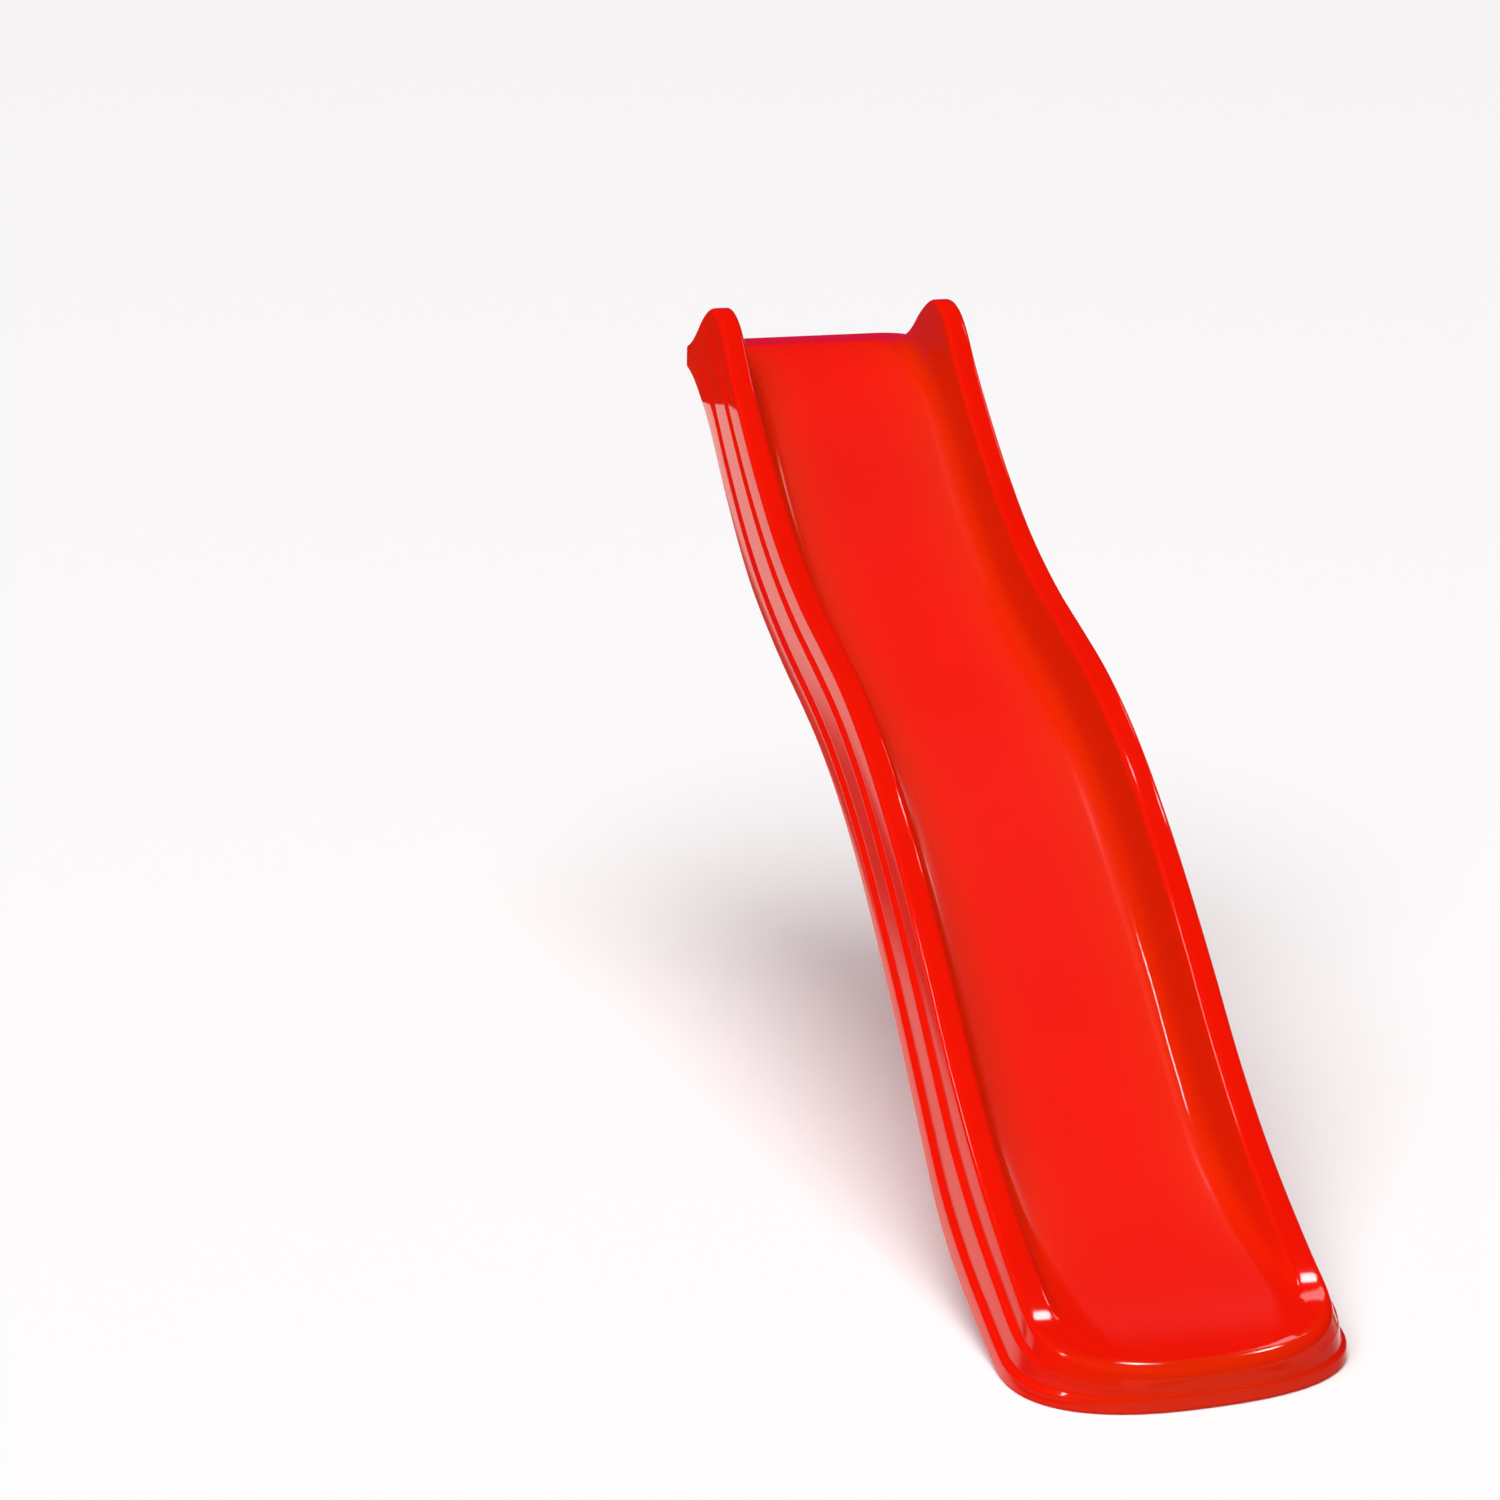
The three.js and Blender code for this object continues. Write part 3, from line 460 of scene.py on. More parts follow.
def wall_line(place):
    """The outer wall at one place as (inset at the side, at the foot, share of height)."""
    row, share, angle, _ = place
    turn = math.sin(angle) ** 2
    scale = float(step_scale(row[0]))
    _, y = plan_point(row, share, *edge_inset(row))
    height = float(top_height(RIM_FLAT_EDGE, y) - lower_edge(y))
    ear_low, ear_full, ear_end, head, extra = EAR_ROUND
    ear = float(smooth_step(ear_low, ear_full, row[0]) * (1 - smooth_step(ear_end, head, row[0])))
    fit = min(1.0, height / FULL_HEIGHT)
    climbs = [1.0]
    for low, high, last in (UPPER_LEDGE, UPPER_LEDGE, LOWER_LEDGE, LOWER_LEDGE):
        climbs.append(1.0 - (1.0 - last) * float(smooth_step(low, high, row[0])))
    climbs.append(1.0)
    fade = float(smooth_step(0.0, LEDGE_END, math.sin(angle)))
    lines = []
    for part, lead, shrink in (("side", RIM_LEAD, scale), ("foot", FOOT_LEAD, 1.0)):
        corners = []
        for corner, climb in zip(WALL_CORNERS, climbs):
            down, inset, reach = corner[part]
            if part == "side":
                down *= climb
            corners.append((inset * shrink, down * height, reach * fit))
        if part == "side":
            inset, down, reach = corners[1]
            corners[1] = (inset + (corners[2][0] - inset) * fade, down, reach)
            inset, down, reach = corners[0]
            corners[0] = (inset, down, reach + extra * ear)
        first = (corners[0][0] + lead, 0.0, 0)
        last = (WALL_RETURN, height, 0)
        lines.append(np.array(rounded([first, *corners, last], CORNER_STEPS)))
    side, foot = lines
    down = (side[:, 1] * (1 - turn) + foot[:, 1] * turn) / height
    return list(zip(side[:, 0], foot[:, 0], down))


def wall_point(place, in_side, in_foot, down, lift=0.0):
    """A point of the outer wall: how far in from its lower edge, and its share of the height."""
    row, share, angle, on_front = place
    if on_front:
        x, y = foot_point(angle, in_side, in_foot)
        x = math.copysign(x, share) if share else 0.0
    else:
        x, y = plan_point(row, share, in_side, in_foot)
    edge_y = y if row[1] > 0 else row[0]
    bottom = lower_edge(edge_y) + lift
    top = top_height(RIM_FLAT_EDGE, y)
    return x, y, top + (bottom - top) * down


# ------------------------------------------------------------------ the two skins
# Where each shade comes in or goes out: from and to a half width x, or a y.
FLOOR_SIDES = (60, 150)
WALL_FOOT = (146, 172)
WALL_TOP = (193, 200)
FLOOR_SHARE = 0.7                 # of the wall's shade that the floor's sides already have
TREAD_SIDES = (130, 165)
TREAD_FOOT = (FOOT_FRONT, FOOT_START + 60)
TREAD_HEAD = (-75, -50)
SKIRT_TURN = 0.09                 # share of the wall's height where its inner face ends


def painted_shade_mask(x, y):
    """How far a point of the top gets painted warm bounce light and shade, 0 to 1: the floor's
    sides, the inner walls and their fillets.
    """
    beside = FLOOR_SHARE * smooth_step(*FLOOR_SIDES, np.abs(x))
    painted_warm_shade = (1 - FLOOR_SHARE) * smooth_step(*WALL_FOOT, np.abs(x))
    height = np.clip((rim_line(y) - floor_line(y)) / CHUTE_DEPTH, 0, 1)
    return (beside + painted_warm_shade) * (1 - smooth_step(*WALL_TOP, np.abs(x))) * height


def tread_shade(x, y):
    """How far a point of the top belongs to the grained chute floor, 0 to 1."""
    along = smooth_step(*TREAD_FOOT, y) * (1 - smooth_step(*TREAD_HEAD, y))
    return (1 - smooth_step(*TREAD_SIDES, np.abs(x))) * along


def chute_surface():
    """The upper skin: chute, rims, ears and stepped outer walls, with its thickness."""
    surface = Surface()
    columns = np.array(both_sides(TOP_COLUMNS), float)
    top = []
    for row in ROWS:
        x, y = plan_point(row, columns / RIM_FLAT_EDGE, *edge_inset(row))
        top.append(np.stack([x, y, top_height(columns, y)], axis=1))
    top = np.array(top)
    ids = surface.grid(top)
    for line, points in zip(ids, top):
        # Painted warm bounce light and shade on the floor's sides and the inner walls.
        surface.shade("painted_warm_shade", line, painted_shade_mask(columns, points[:, 1]))
        surface.shade("tread", line, tread_shade(columns, points[:, 1]))
    places = outline_places(TOP_COLUMNS)
    lines = [wall_line(place) for place in places]
    ring = grid_edge(ids)
    for step in range(1, len(lines[0])):
        points = [wall_point(place, *line[step]) for place, line in zip(places, lines)]
        lower = surface.add(points)
        # Painted shade: the foot's front and its corners get the darker, warmer red.
        surface.shade("painted_warm_shade", lower, [math.sin(angle) ** 2 for _, _, angle, _ in places])
        surface.band(ring, lower)
        ring = lower
    wall_top = WALL_CORNERS[0]["side"][1]
    for down, lift in ((1.0, SKIN), (SKIRT_TURN, 0.0)):
        points = []
        for place in places:
            scale = float(step_scale(place[0][0]))
            inset = WALL_RETURN if down == 1.0 else wall_top * scale + SKIRT_WALL
            points.append(wall_point(place, inset, inset, down, lift))
        lower = surface.add(points)
        surface.band(ring, lower)
        ring = lower
    along = np.gradient(top, axis=0)
    across = np.gradient(top, axis=1)
    normal = np.cross(along, across)
    normal /= np.linalg.norm(normal, axis=2, keepdims=True)
    inner_ids = surface.grid(top - SKIN * normal, flip=True)
    surface.band(ring, grid_edge(inner_ids))
    return surface


CHANNEL_DEPTH = 8.0
CHANNEL_MIDDLE = 75.0             # half width at a channel's middle
CHANNEL_HALF = 15.0
CHANNEL_SIDE = (0.45 * CHANNEL_HALF, 1.1 * CHANNEL_HALF)   # its side, from its middle
CHANNEL_TOP = -330.0
CHANNEL_END = -1760.0
CHANNEL_FADE = 60.0
SEAM = 0.4                        # between the two skins
UNDER_INSET = WALL_RETURN + SEAM
UNDER_BEVEL = 0.8                 # of the underside's lower edge
UNDER_COLUMNS = [
    0, 30, 52, 58, 61, 64, 67, 71, 75, 79, 83, 86, 89, 92, 98, 130, 175, 215, 240, BASE_HALF,
]


def channel_depth(x, y):
    """Depth of the two stiffening channels in the underside."""
    across = 1 - smooth_step(*CHANNEL_SIDE, np.abs(np.abs(x) - CHANNEL_MIDDLE))
    below = 1 - smooth_step(CHANNEL_TOP - CHANNEL_FADE, CHANNEL_TOP, y)
    above = smooth_step(CHANNEL_END, CHANNEL_END + CHANNEL_FADE, y)
    return CHANNEL_DEPTH * across * below * above


def underside_surface():
    """The lower skin, a shaped plate inside the walls' turned-in edge."""
    surface = Surface()
    columns = np.array(both_sides(UNDER_COLUMNS), float)
    sheets = []
    for thickness, inset in ((SKIN, UNDER_INSET), (0.0, UNDER_INSET + UNDER_BEVEL)):
        sheet = []
        for row in ROWS:
            x, y = plan_point(row, columns / BASE_HALF, inset, inset)
            edge_y = y if row[1] > 0 else np.full_like(x, row[0])
            slope = lower_slope(edge_y)
            upright = np.where(edge_y > DECK_EDGE - ROW_ROOM, 1.0, np.hypot(1, slope))
            lift = (thickness + channel_depth(x, y)) * upright
            sheet.append(np.stack([x, y, lower_edge(edge_y) + lift], axis=1))
        sheets.append(sheet)
    upper = surface.grid(sheets[0])
    lower = surface.grid(sheets[1], flip=True)
    places = outline_places(UNDER_COLUMNS)
    insets = (UNDER_INSET, UNDER_INSET)
    rim = surface.add([wall_point(place, *insets, 1.0, UNDER_BEVEL) for place in places])
    surface.band(grid_edge(upper), rim)
    surface.band(rim, grid_edge(lower))
    return surface


# ------------------------------------------------------------------ materials
class Nodes:
    """Short calls for building one material's node tree."""

    def __init__(self, name):
        self.material = bpy.data.materials.new(name)
        self.material.use_nodes = True
        self.tree = self.material.node_tree
        self.shader = self.tree.nodes["Principled BSDF"]
        self.place = self.tree.nodes.new("ShaderNodeTexCoord").outputs["Object"]

    def link(self, value, socket):
        self.tree.links.new(value, socket)

    def noise(self, scale, detail=2.0):
        node = self.tree.nodes.new("ShaderNodeTexNoise")
        node.inputs["Scale"].default_value = scale
        node.inputs["Detail"].default_value = detail
        self.link(self.place, node.inputs["Vector"])
        return node.outputs["Fac"]

    def spread(self, value, low, high):
        """Widens a noise, which stays near its middle, to the range from low to high."""
        node = self.tree.nodes.new("ShaderNodeMapRange")
        self.link(value, node.inputs["Value"])
        limits = {"From Min": 0.3, "From Max": 0.7, "To Min": low, "To Max": high}
        for name, number in limits.items():
            node.inputs[name].default_value = number
        return node.outputs["Result"]

    def mix(self, share, first, second):
        """Mixes two colours, each a tuple or another node's output."""
        node = self.tree.nodes.new("ShaderNodeMix")
        node.data_type = "RGBA"
        self.link(share, node.inputs["Factor"])
        for socket, value in ((node.inputs[6], first), (node.inputs[7], second)):
            if isinstance(value, tuple):
                socket.default_value = value
            else:
                self.link(value, socket)
        return node.outputs[2]

    def blend(self, share, first, second):
        """Mixes two numbers that come from other nodes."""
        node = self.tree.nodes.new("ShaderNodeMix")
        self.link(share, node.inputs["Factor"])
        self.link(first, node.inputs["A"])
        self.link(second, node.inputs["B"])
        return node.outputs["Result"]

    def shade(self, name):
        node = self.tree.nodes.new("ShaderNodeAttribute")
        node.attribute_name = name
        return node.outputs["Fac"]

    def bump(self, height, distance, strength, after=None):
        node = self.tree.nodes.new("ShaderNodeBump")
        node.inputs["Distance"].default_value = distance
        node.inputs["Strength"].default_value = strength
        self.link(height, node.inputs["Height"])
        if after is not None:
            self.link(after, node.inputs["Normal"])
        return node.outputs["Normal"]

    def set(self, **values):
        for name, value in values.items():
            title = name.replace("_", " ").title().replace("Ior", "IOR")
            self.shader.inputs[title].default_value = value


RED_DEEP = (0.76, 0.0060, 0.0009, 1)
RED_CLEAR = (0.82, 0.0070, 0.0011, 1)
# Painted shade: a darker, warmer red for warm bounce light and shade on the inner walls and the
# foot's front.
RED_PAINTED_SHADE = (0.70, 0.019, 0.0010, 1)


def red_plastic(name, gloss, matt):
    """Moulded polyethylene: clear red, with painted warm bounce light and shade on the inner walls
    and the foot's front, grained where one slides.
    """
    n = Nodes(name)
    n.set(ior=1.5, specular_ior_level=0.3)
    cloud = n.spread(n.noise(2.4, detail=3.0), 0.0, 1.0)
    plain = n.mix(cloud, RED_DEEP, RED_CLEAR)
    # A darker, warmer red is mixed in here as painted warm bounce light and shade.
    n.link(n.mix(n.shade("painted_warm_shade"), plain, RED_PAINTED_SHADE), n.shader.inputs["Base Color"])
    uneven = n.noise(700.0)
    polished = n.spread(uneven, gloss - 0.01, gloss + 0.03)
    grained = n.spread(uneven, matt - 0.08, matt + 0.08)
    n.link(n.blend(n.shade("tread"), polished, grained), n.shader.inputs["Roughness"])
    peel = n.bump(n.noise(60.0, detail=1.0), distance=0.0004, strength=0.04)
    grain = n.bump(n.noise(520.0), distance=0.00012, strength=0.08, after=peel)
    n.link(grain, n.shader.inputs["Normal"])
    return n.material


RED = red_plastic("red_gloss", gloss=0.06, matt=0.74)
RED_UNDER = red_plastic("red_under", gloss=0.34, matt=0.42)


# ------------------------------------------------------------------ small pieces
def fitting_material(name, dark, light, shine, metallic=0.0, grain=900.0):
    """A plain material with a cloudy colour, uneven shine and a fine grain."""
    n = Nodes(name)
    n.set(metallic=metallic)
    cloud = n.spread(n.noise(45.0, detail=3.0), 0.0, 1.0)
    n.link(n.mix(cloud, (*dark, 1), (*light, 1)), n.shader.inputs["Base Color"])
    n.link(n.spread(n.noise(grain, detail=3.0), *shine), n.shader.inputs["Roughness"])
    n.link(n.bump(n.noise(grain), distance=0.00006, strength=0.3), n.shader.inputs["Normal"])
    return n.material


ZINC = fitting_material(
    "zinc", (0.48, 0.50, 0.53), (0.66, 0.67, 0.69), (0.22, 0.42), metallic=1.0, grain=350.0)
BLACK = fitting_material(
    "black", (0.008, 0.008, 0.009), (0.016, 0.016, 0.017), (0.38, 0.55))
RUBBER = fitting_material(
    "rubber", (0.006, 0.006, 0.006), (0.010, 0.010, 0.010), (0.72, 0.88))
HOSE = fitting_material(
    "hose", (0.62, 0.66, 0.62), (0.72, 0.75, 0.71), (0.24, 0.34))


FITTING_STEPS = 4                 # of each rounding
FIXING_X = 118.0
FIXING_Y = -3.0
HOSE_X = -205.0
HOSE_Y = -195.0
NOZZLE_Y = -207.0
NOZZLE_RISE = 0.6                 # share of the inner wall's height
NOZZLE_SPAN = 8.0                 # along the wall, over which its direction is taken
NOZZLE_ELBOW = 16.0               # from the wall to its elbow's middle, and the elbow's length
ELBOW_REACH = 24.0
PLUG_ROWS = (("upper", -700.0), ("lower", -1480.0))
TUBE_RADIUS = 5.5
TUBE_BORE = 3.5
TUBE_LEAD = 14.0                  # straight lead of the tube off each barb
TUBE_GAP = 0.3                    # from the tube's ends to the barbs
TUBE_RINGS = 48
TUBE_SIDES = 28
SCREW_SIDES = 24
BARB_RADIUS = 4.5
BARB_END = 34.0
BARB_TEETH = 3
BARB_DEPTH = 0.7
BARB_EDGE = 0.2
MOUTH = 0.3                       # bevel of a barb's bore
NUT_EDGE = 0.2
NUT_BEVEL = 1.0
NUT_ENTRY = 0.6                   # bevel of a nut's bore
NUT_FACE = 1.0                    # flat ring round that bore
DRILL_HALF = 12.0                 # half a drill's length
NOZZLE_HOLE = 5.8
SCREW_HOLE = 3.5
HOSE_HOLE = 8.3
PLUG_HOLE = 7.3

# Half sections of the turned pieces: (radius, z, rounding) or (radius, z). Z is up from the
# head's underside or from the skin that a fitting goes through.
CAP_SEAT = [
    (AXIS, 10, 0), (9.3, 10, 0), (9.3, 23.6, 0), (9.8, 24.05, 0), (10.2, 26, 0), (AXIS, 26, 0),
]
CAP = [
    (AXIS, 17, 0), (6.9, 17, 0.6), (6.9, 21.9, 0.2), (8.8, 21.9, 0.2), (8.8, 24.0, 0.9),
    (AXIS, 24.3, 0),
]
CUP = [
    (6, 4.3, 0), (9, 4.3, 0.5), (9, 21.6, 0.4), (7.2, 21.6, 0.4), (7.2, 7.3, 0.5),
    (3.5, 7.3, 0.3), (3.5, 4.3, 0.3),
]
WASHER = [(5, 7.6, 0), (6.8, 7.6, 0.3), (6.8, 8.8, 0.3), (3.4, 8.8, 0.3), (3.4, 7.6, 0.3)]
SCREW_POINT = [(AXIS, -40, 0), (0.4, -40, 0), (2.64, -32, 0)]
SCREW_THREAD = (3.0, -31.8, 1, 2.2)          # radius, from, to, pitch
SCREW_HEAD = [
    (2.7, 1.2, 0), (2.7, 9.1, 0.3), (5.8, 9.1, 0.4), (5.8, 10.3, 0.3), (3.4, 12.7, 0.4),
    (2.2, 12.7, 0),
]
SCREW_DRIVE = [(1.9, 12.4), (1.9, 10.5)]     # the key's hexagonal recess
SCREW_FLOOR = [(AXIS, 10.3)]
CONNECTOR_TAIL = [
    (4.5, -36, 0), (6.9, -36, 0.6), (7.9, -28.5, 0.4), (6.6, -28.5, 0.3), (6.6, -24, 0.3),
    (8.6, -24, 0.5), (8.6, -19.5, 0.5), (7.4, -19.5, 0.3), (7.4, -9, 0.6), (12.4, -9, 0),
]
CONNECTOR_HEXAGON = 15.0
CONNECTOR_FLANGE = [(14.1, -8.4), (14.1, -4.4), (12.9, -4)]
CONNECTOR_NECK = (8, -3.9)
CONNECTOR_THREAD = (8.0, -3.5, 21.5, 2.0)
CONNECTOR_END = (7.0, 22)
CONNECTOR_BORE = 3.0
CONNECTOR_MOUTH = [(3, -35.5), (3.5, -36)]
SEAL = [(11, -3.7, 0), (13.5, -3.7, 1.0), (13.5, -0.9, 1.0), (8.4, -0.9, 0.6), (8.4, -3.7, 0.6)]
HOSE_NUT = (13.5, 8.3, 6, 14)                # radius over its corners, bore, from, to
NOZZLE_BODY = [
    (AXIS, -20, 0), (5.5, -20, 0.5), (5.5, 0.7, 0.1), (9, 0.7, 0.3), (9, 1.5, 0.4), (7.8, 3, 0.6),
    (2.6, 3, 0.4), (2.0, 2.2, 0.2), (2.0, -10, 0.2), (AXIS, -10, 0),
]
ELBOW_TAIL = [(2.3, 5), (4.4, 5), (4.4, 12)]
ELBOW_BORE = 2.0
ELBOW_END = (2, 5.3)
NOZZLE_NUT = (9.0, 5.8, -11, -6.5)
PLUG = [
    (AXIS, -2.3, 0), (2.6, -2.3, 0.5), (3.6, -3, 0.4), (8, -3, 0.7), (8, -2.2, 0.1), (9, -2.2, 0.5),
    (9, -0.7, 0.4), (7, -0.7, 0.1), (7, 9, 0.5), (5.5, 9, 0.2), (5.5, 11, 0.7), (AXIS, 11, 0),
]


def plain(corners):
    """Rings for turned(), from (radius, z, rounding) corners."""
    return [(radius, z, 0.0, 0.0) for radius, z in rounded(corners, FITTING_STEPS)]


def closed(corners):
    """The same round a bore: the first corner is repeated at the end, and lies on a flat."""
    return plain([*corners, corners[0]])[:-1]


def sharp(corners, hexagon=0.0):
    """Rings from plain (radius, z) corners, cut to a hexagon if it has a size."""
    return [(radius, z, hexagon, 0.0) for radius, z in corners]


def thread(radius, low, high, pitch):
    steps = round((high - low) / pitch * THREAD_RINGS)
    return [(radius, low + (high - low) * i / steps, 0.0, pitch) for i in range(steps + 1)]


def barb(radius, low, high, bore):
    """A hose barb's teeth from low to high, then its bore's mouth."""
    pitch = (high - low) / BARB_TEETH
    neck = radius - BARB_DEPTH
    corners = []
    for i in range(BARB_TEETH):
        corners.append((radius, low + i * pitch + BARB_EDGE))
        corners.append((neck, low + (i + 1) * pitch - BARB_EDGE))
    mouth = [(neck, high), (bore + MOUTH, high), (bore, high - MOUTH)]
    return sharp(corners + mouth)


def nut(across, bore, low, high):
    """Rings of a hexagonal nut with turned corners, and a round bore."""
    flat = across * math.cos(math.pi / 6)
    edge = (flat + across) / 2
    bottom = [(flat, low), (edge, low + NUT_EDGE), (across, low + NUT_BEVEL)]
    top = [(across, high - NUT_BEVEL), (edge, high - NUT_EDGE), (flat, high)]
    entry = bore + NUT_ENTRY
    inside = [(entry, high), (bore, high - NUT_ENTRY), (bore, low + NUT_ENTRY), (entry, low)]
    return sharp([(bore + NUT_FACE, low)]) + sharp(bottom + top, across) + sharp(inside)


def turned_piece(node, place, profile, material, sides=TURNED_SIDES):
    surface = Surface()
    surface.turned(place, profile, sides)
    as_piece(f"{node}_look", surface, material, node)


def on_underside(x, y):
    """A place on the underside, its Z into the hollow."""
    turn = Matrix.Rotation(math.atan(float(lower_slope(y))), 4, "X")
    return Matrix.Translation((x, y, float(edge_line(y)))) @ turn


def top_point(x, y):
    return Vector((x, y, float(top_height(np.float64(x), y))))


def nozzle_place():
    """On the left inner wall: Z into the chute, X down."""
    x = -(FLOOR_EDGE + (RIM_INNER - FLOOR_EDGE) * NOZZLE_RISE)
    upward = (top_point(x - 1, NOZZLE_Y) - top_point(x + 1, NOZZLE_Y)).normalized()
    along = top_point(x, NOZZLE_Y + NOZZLE_SPAN) - top_point(x, NOZZLE_Y - NOZZLE_SPAN)
    outward = along.cross(upward).normalized()
    across = outward.cross(-upward)
    turn = Matrix((-upward, across, outward)).transposed()
    return Matrix.Translation(top_point(x, NOZZLE_Y)) @ turn.to_4x4()


def bored(radius):
    """A drill that goes through one skin."""
    corners = [(AXIS, -DRILL_HALF), (radius, -DRILL_HALF), (radius, DRILL_HALF), (AXIS, DRILL_HALF)]
    return plain([(*corner, 0) for corner in corners])


def skins():
    decks = [Matrix.Translation((x, FIXING_Y, 0)) for x in (-FIXING_X, FIXING_X)]
    holes = [(place, plain(CAP_SEAT)) for place in decks]
    holes.append((nozzle_place(), bored(NOZZLE_HOLE)))
    as_piece("chute_skin", chute_surface(), RED, "chute_shell", holes)
    holes = [(place, bored(SCREW_HOLE)) for place in decks]
    holes.append((on_underside(HOSE_X, HOSE_Y), bored(HOSE_HOLE)))
    holes += [(on_underside(0, y), bored(PLUG_HOLE)) for _, y in PLUG_ROWS]
    as_piece("underside_skin", underside_surface(), RED_UNDER, "underside_shell", holes)


def deck_fixings():
    cup = closed(CUP)
    washer = closed(WASHER)
    screw = plain(SCREW_POINT) + thread(*SCREW_THREAD) + plain(SCREW_HEAD)
    screw += sharp(SCREW_DRIVE, SCREW_DRIVE[0][0]) + sharp(SCREW_FLOOR)
    cap = plain(CAP)
    for side, x in (("left", -FIXING_X), ("right", FIXING_X)):
        place = Matrix.Translation((x, FIXING_Y, 0))
        turned_piece(f"fixing_cup_{side}", place, cup, RED_UNDER)
        turned_piece(f"deck_washer_{side}", place, washer, ZINC)
        turned_piece(f"deck_screw_{side}", place, screw, ZINC, SCREW_SIDES)
        turned_piece(f"screw_cap_{side}", place, cap, RED_UNDER)


def hose_fitting():
    """The connector with its seal and nut. Returns its place."""
    place = on_underside(HOSE_X, HOSE_Y)
    connector = plain(CONNECTOR_TAIL) + sharp(CONNECTOR_FLANGE, CONNECTOR_HEXAGON)
    connector += sharp([CONNECTOR_NECK]) + thread(*CONNECTOR_THREAD) + sharp([CONNECTOR_END])
    connector += barb(BARB_RADIUS, CONNECTOR_END[1], BARB_END, CONNECTOR_BORE)
    connector += sharp(CONNECTOR_MOUTH)
    turned_piece("hose_connector", place, connector, BLACK)
    turned_piece("hose_seal", place, closed(SEAL), RUBBER)
    turned_piece("hose_nut", place, nut(*HOSE_NUT), BLACK)
    return place


def spray_nozzle():
    """The nozzle with its elbow and nut. Returns its place."""
    place = nozzle_place()
    surface = Surface()
    surface.turned(place, plain(NOZZLE_BODY))
    elbow = place @ Matrix.Translation((0, 0, -NOZZLE_ELBOW)) @ Matrix.Rotation(math.pi / 2, 4, "Y")
    tail = sharp(ELBOW_TAIL) + barb(BARB_RADIUS, ELBOW_TAIL[-1][1], ELBOW_REACH, ELBOW_BORE)
    surface.turned(elbow, tail + sharp([ELBOW_END]))
    as_piece("water_nozzle_look", surface, BLACK, "water_nozzle")
    turned_piece("nozzle_nut", place, nut(*NOZZLE_NUT), BLACK)
    return place


def water_tube(hose_place, nozzle):
    """The inner hose from one barb to the other, as a bent tube with a bore."""
    def on_hose(z):
        return hose_place @ Vector((0, 0, z))

    def on_nozzle(x):
        return nozzle @ Vector((x, 0, -NOZZLE_ELBOW))

    points = [
        on_hose(BARB_END + TUBE_GAP),
        on_hose(BARB_END + TUBE_LEAD),
        on_nozzle(ELBOW_REACH + TUBE_LEAD),
        on_nozzle(ELBOW_REACH + TUBE_GAP),
    ]
    spans = [b - a for a, b in zip(points, points[1:])]
    surface = Surface()
    rings = []
    side = Vector((0, 1, 0))
    for i in range(TUBE_RINGS + 1):
        t = i / TUBE_RINGS
        shares = ((1 - t) ** 3, 3 * t * (1 - t) ** 2, 3 * t * t * (1 - t), t**3)
        centre = sum((share * point for share, point in zip(shares, points)), Vector())
        slopes = ((1 - t) ** 2, 2 * t * (1 - t), t * t)
        ahead = sum((slope * span for slope, span in zip(slopes, spans)), Vector()).normalized()
        side = (side - side.dot(ahead) * ahead).normalized()
        rings.append((centre, side, ahead.cross(side)))

    def loop(ring, radius):
        centre, first, second = ring
        turns = [2 * math.pi * i / TUBE_SIDES for i in range(TUBE_SIDES)]
        return surface.add(
            [centre + radius * (math.cos(t) * first + math.sin(t) * second) for t in turns])

    ids = [loop(ring, TUBE_RADIUS) for ring in rings]
    ids += [loop(ring, TUBE_BORE) for ring in reversed(rings)]
    for lower, upper in zip(ids, ids[1:] + ids[:1]):
        surface.band(lower, upper)
    as_piece("water_tube_look", surface, HOSE, "water_tube")


def blow_plugs():
    for name, y in PLUG_ROWS:
        turned_piece(f"blow_plug_{name}", on_underside(0, y), plain(PLUG), RED_UNDER)


skins()
deck_fixings()
hose = hose_fitting()
water_tube(hose, spray_nozzle())
blow_plugs()


# ------------------------------------------------------------------ studio
STAGE_FLOOR_HALF = 40.0
FLAG_Y = 0.030
FLAG_X = (-1.2, -0.20)
FLAG_Z = (-0.101, 0.30)

CAMERA_PLACE = (-1.885, -6.020, 1.072)
CAMERA_RIGHT = (0.96057, -0.27799, 0.0050)
CAMERA_UP = (0.05936, 0.22262, 0.97310)
CAMERA_LENS = 79.19               # mm, on a sensor of this width
CAMERA_SENSOR = 36.0
CAMERA_SHIFT = (0.0123, -0.126)


def stage_sheet(name, corners, material, hidden_from):
    """One flat four-cornered sheet of the stage, and the kinds of ray that don't see it."""
    mesh = bpy.data.meshes.new(name)
    mesh.from_pydata(corners, [], [(0, 1, 2, 3)])
    mesh.materials.append(material)
    sheet = bpy.data.objects.new(name, mesh)
    for ray in hidden_from:
        setattr(sheet, f"visible_{ray}", False)
    bpy.context.scene.collection.objects.link(sheet)


def floor():
    n = Nodes("pale_floor")
    n.set(base_color=(0.96, 0.96, 0.96, 1), roughness=0.6, specular_ior_level=0.2)
    half = STAGE_FLOOR_HALF
    plan = [(-half, -half), (half, -half), (half, half), (-half, half)]
    stage_sheet("floor", [(x, y, GROUND * MM) for x, y in plan], n.material, ["glossy"])


def flag():
    """A red studio flag behind the head, seen only as a reflection in its outer wall."""
    n = Nodes("red_flag")
    n.set(base_color=(0.80, 0.05, 0.02, 1), roughness=0.9, specular_ior_level=0.0)
    (left, right), (low, high) = FLAG_X, FLAG_Z
    outline = [(left, low), (right, low), (right, high), (left, high)]
    hidden_from = ["camera", "diffuse", "transmission", "shadow"]
    stage_sheet("flag", [(x, FLAG_Y, z) for x, z in outline], n.material, hidden_from)


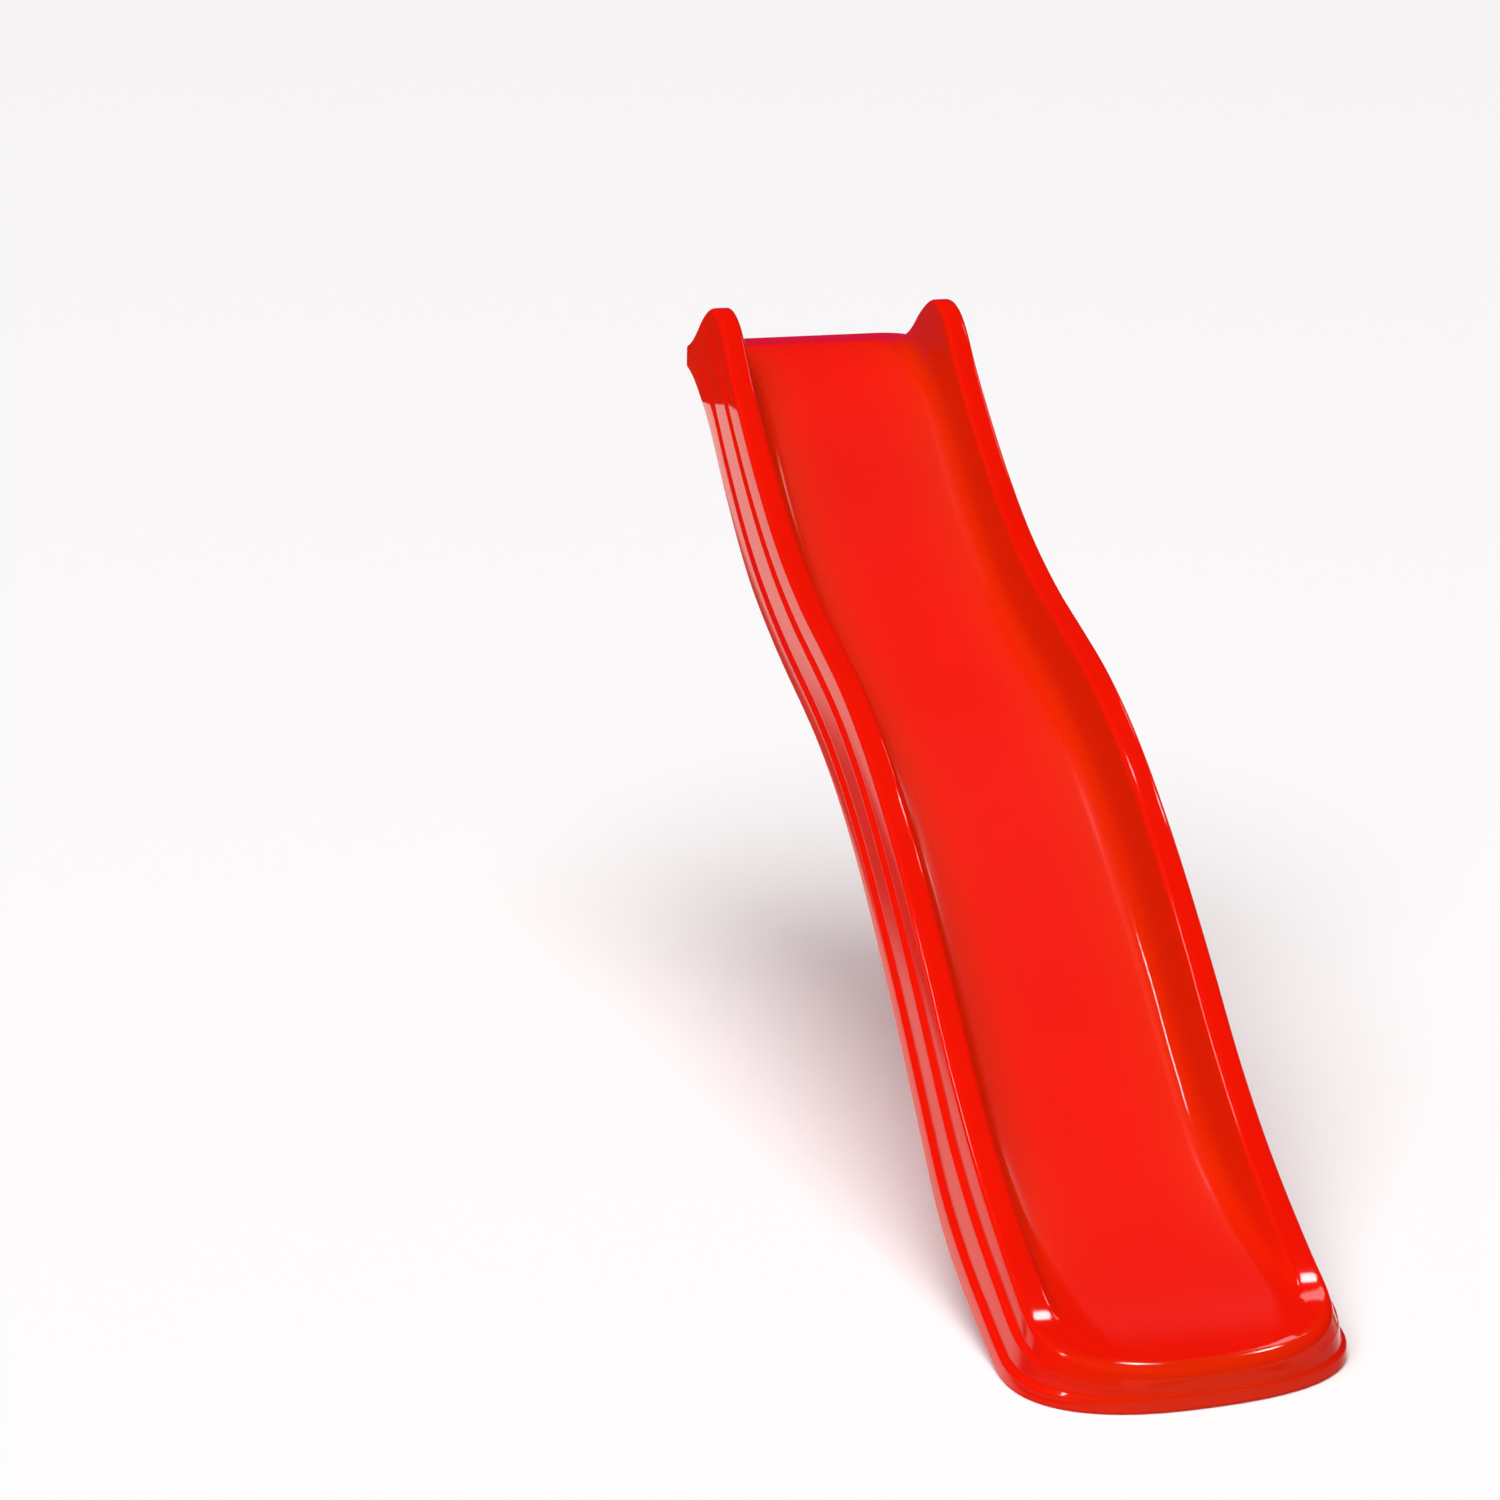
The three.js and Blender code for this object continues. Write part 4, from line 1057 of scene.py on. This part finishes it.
def camera():
    data = bpy.data.cameras.new("camera")
    data.lens = CAMERA_LENS
    data.sensor_width = CAMERA_SENSOR
    data.shift_x, data.shift_y = CAMERA_SHIFT
    obj = bpy.data.objects.new("camera", data)
    right = Vector(CAMERA_RIGHT)
    up = Vector(CAMERA_UP)
    turn = Matrix((right, up, right.cross(up))).transposed()
    obj.matrix_world = Matrix.Translation(CAMERA_PLACE) @ turn.to_4x4()
    bpy.context.scene.collection.objects.link(obj)
    bpy.context.scene.camera = obj


def highlight(name, place, target, size, power):
    """A small lamp that only shows as a reflection on glossy surfaces."""
    data = bpy.data.lights.new(name, "AREA")
    data.shape = "RECTANGLE"
    data.size, data.size_y = size
    data.energy = power
    obj = bpy.data.objects.new(name, data)
    place, target = Vector(place), Vector(target)
    obj.location = place
    obj.rotation_euler = (target - place).to_track_quat("-Z", "Y").to_euler()
    obj.visible_camera = False
    obj.visible_diffuse = False
    bpy.context.scene.collection.objects.link(obj)


def fill():
    """Wide soft daylight from above, which glossy surfaces don't mirror."""
    data = bpy.data.lights.new("fill", "SUN")
    data.angle = math.radians(FILL_SPREAD)
    data.energy = FILL_STRENGTH
    obj = bpy.data.objects.new("fill", data)
    obj.rotation_euler = Vector(FILL_TOWARDS).to_track_quat("-Z", "Y").to_euler()
    obj.visible_glossy = False
    bpy.context.scene.collection.objects.link(obj)


# What the glossy surfaces mirror, by the height (z) of its direction: (z, colour).
MIRRORED = [
    (-0.60, (0.35, 0.34, 0.30)),
    (-0.42, (1.30, 1.26, 1.12)),
    (-0.29, (1.30, 1.26, 1.12)),
    (-0.27, (0.20, 0.18, 0.15)),
    (-0.23, (0.20, 0.18, 0.15)),
    (-0.21, (1.50, 1.45, 1.29)),
    (-0.10, (1.50, 1.45, 1.29)),
    (-0.07, (0.30, 0.04, 0.08)),
    (0.27, (0.35, 0.00, 0.12)),
    (0.34, (0.02, 0.02, 0.02)),
]
MIRRORED_MOST = 1.5
MIRRORED_FRONT = 0.25             # its share of that light in front of the slide
MIRRORED_BACK = (0.2, 0.8)        # y of the directions where it grows to the whole


def map_range(tree, from_limits, to_limits):
    node = tree.nodes.new("ShaderNodeMapRange")
    node.inputs["From Min"].default_value, node.inputs["From Max"].default_value = from_limits
    node.inputs["To Min"].default_value, node.inputs["To Max"].default_value = to_limits
    return node


def world():
    """A studio with a bright band low down behind the slide, and dark overhead, so that
    the red stays deep. The camera sees a plain pale background."""
    scene = bpy.context.scene
    scene.world = bpy.data.worlds.new("studio")
    scene.world.use_nodes = True
    tree = scene.world.node_tree
    background = tree.nodes["Background"]
    where = tree.nodes.new("ShaderNodeTexCoord")
    split = tree.nodes.new("ShaderNodeSeparateXYZ")
    height = map_range(tree, (-1.0, 1.0), (0.0, 1.0))
    ramp = tree.nodes.new("ShaderNodeValToRGB")
    behind = map_range(tree, MIRRORED_BACK, (MIRRORED_FRONT * MIRRORED_MOST, MIRRORED_MOST))
    seen = tree.nodes.new("ShaderNodeLightPath").outputs["Is Camera Ray"]
    colour = tree.nodes.new("ShaderNodeMix")
    colour.data_type = "RGBA"
    colour.inputs[7].default_value = (1, 1, 1, 1)
    strength = tree.nodes.new("ShaderNodeMix")
    strength.inputs["B"].default_value = 1.0
    tree.links.new(where.outputs["Generated"], split.inputs[0])
    tree.links.new(split.outputs["Z"], height.inputs["Value"])
    tree.links.new(height.outputs["Result"], ramp.inputs["Fac"])
    tree.links.new(split.outputs["Y"], behind.inputs["Value"])
    tree.links.new(seen, colour.inputs["Factor"])
    tree.links.new(seen, strength.inputs["Factor"])
    tree.links.new(ramp.outputs["Color"], colour.inputs[6])
    tree.links.new(behind.outputs["Result"], strength.inputs["A"])
    tree.links.new(colour.outputs[2], background.inputs["Color"])
    tree.links.new(strength.outputs["Result"], background.inputs["Strength"])
    stops = ramp.color_ramp.elements
    while len(stops) < len(MIRRORED):
        stops.new(1.0)
    for stop, (z, shade) in zip(stops, MIRRORED):
        stop.position = (z + 1) / 2
        stop.color = [level / MIRRORED_MOST for level in shade] + [1]


# Each lamp's place, the point of the slide that it lights, its size and its power in watts.
HIGHLIGHTS = {
    "left_rail": ((0.63, -1.33, 1.18), (-0.217, -1.906, -1.10), (0.17, 0.17), 2.9),
    "right_rail": ((1.25, -1.41, 1.13), (0.217, -1.901, -1.10), (0.17, 0.17), 2.9),
    "left_window": ((-1.93, -2.45, 1.97), (0.0, -1.5, -0.8), (0.22, 0.80), 18),
    "soft_right": ((1.95, -0.46, 2.12), (0.15, -1.98, -1.12), (0.50, 0.40), 3),
}
FILL_TOWARDS = (0.30, 0.35, -1.0)
FILL_SPREAD = 60                  # degrees, for soft shadows
FILL_STRENGTH = 3.6

bpy.context.scene.view_settings.view_transform = "Standard"
floor()
flag()
camera()
world()
fill()
for lamp, settings in HIGHLIGHTS.items():
    highlight(lamp, *settings)
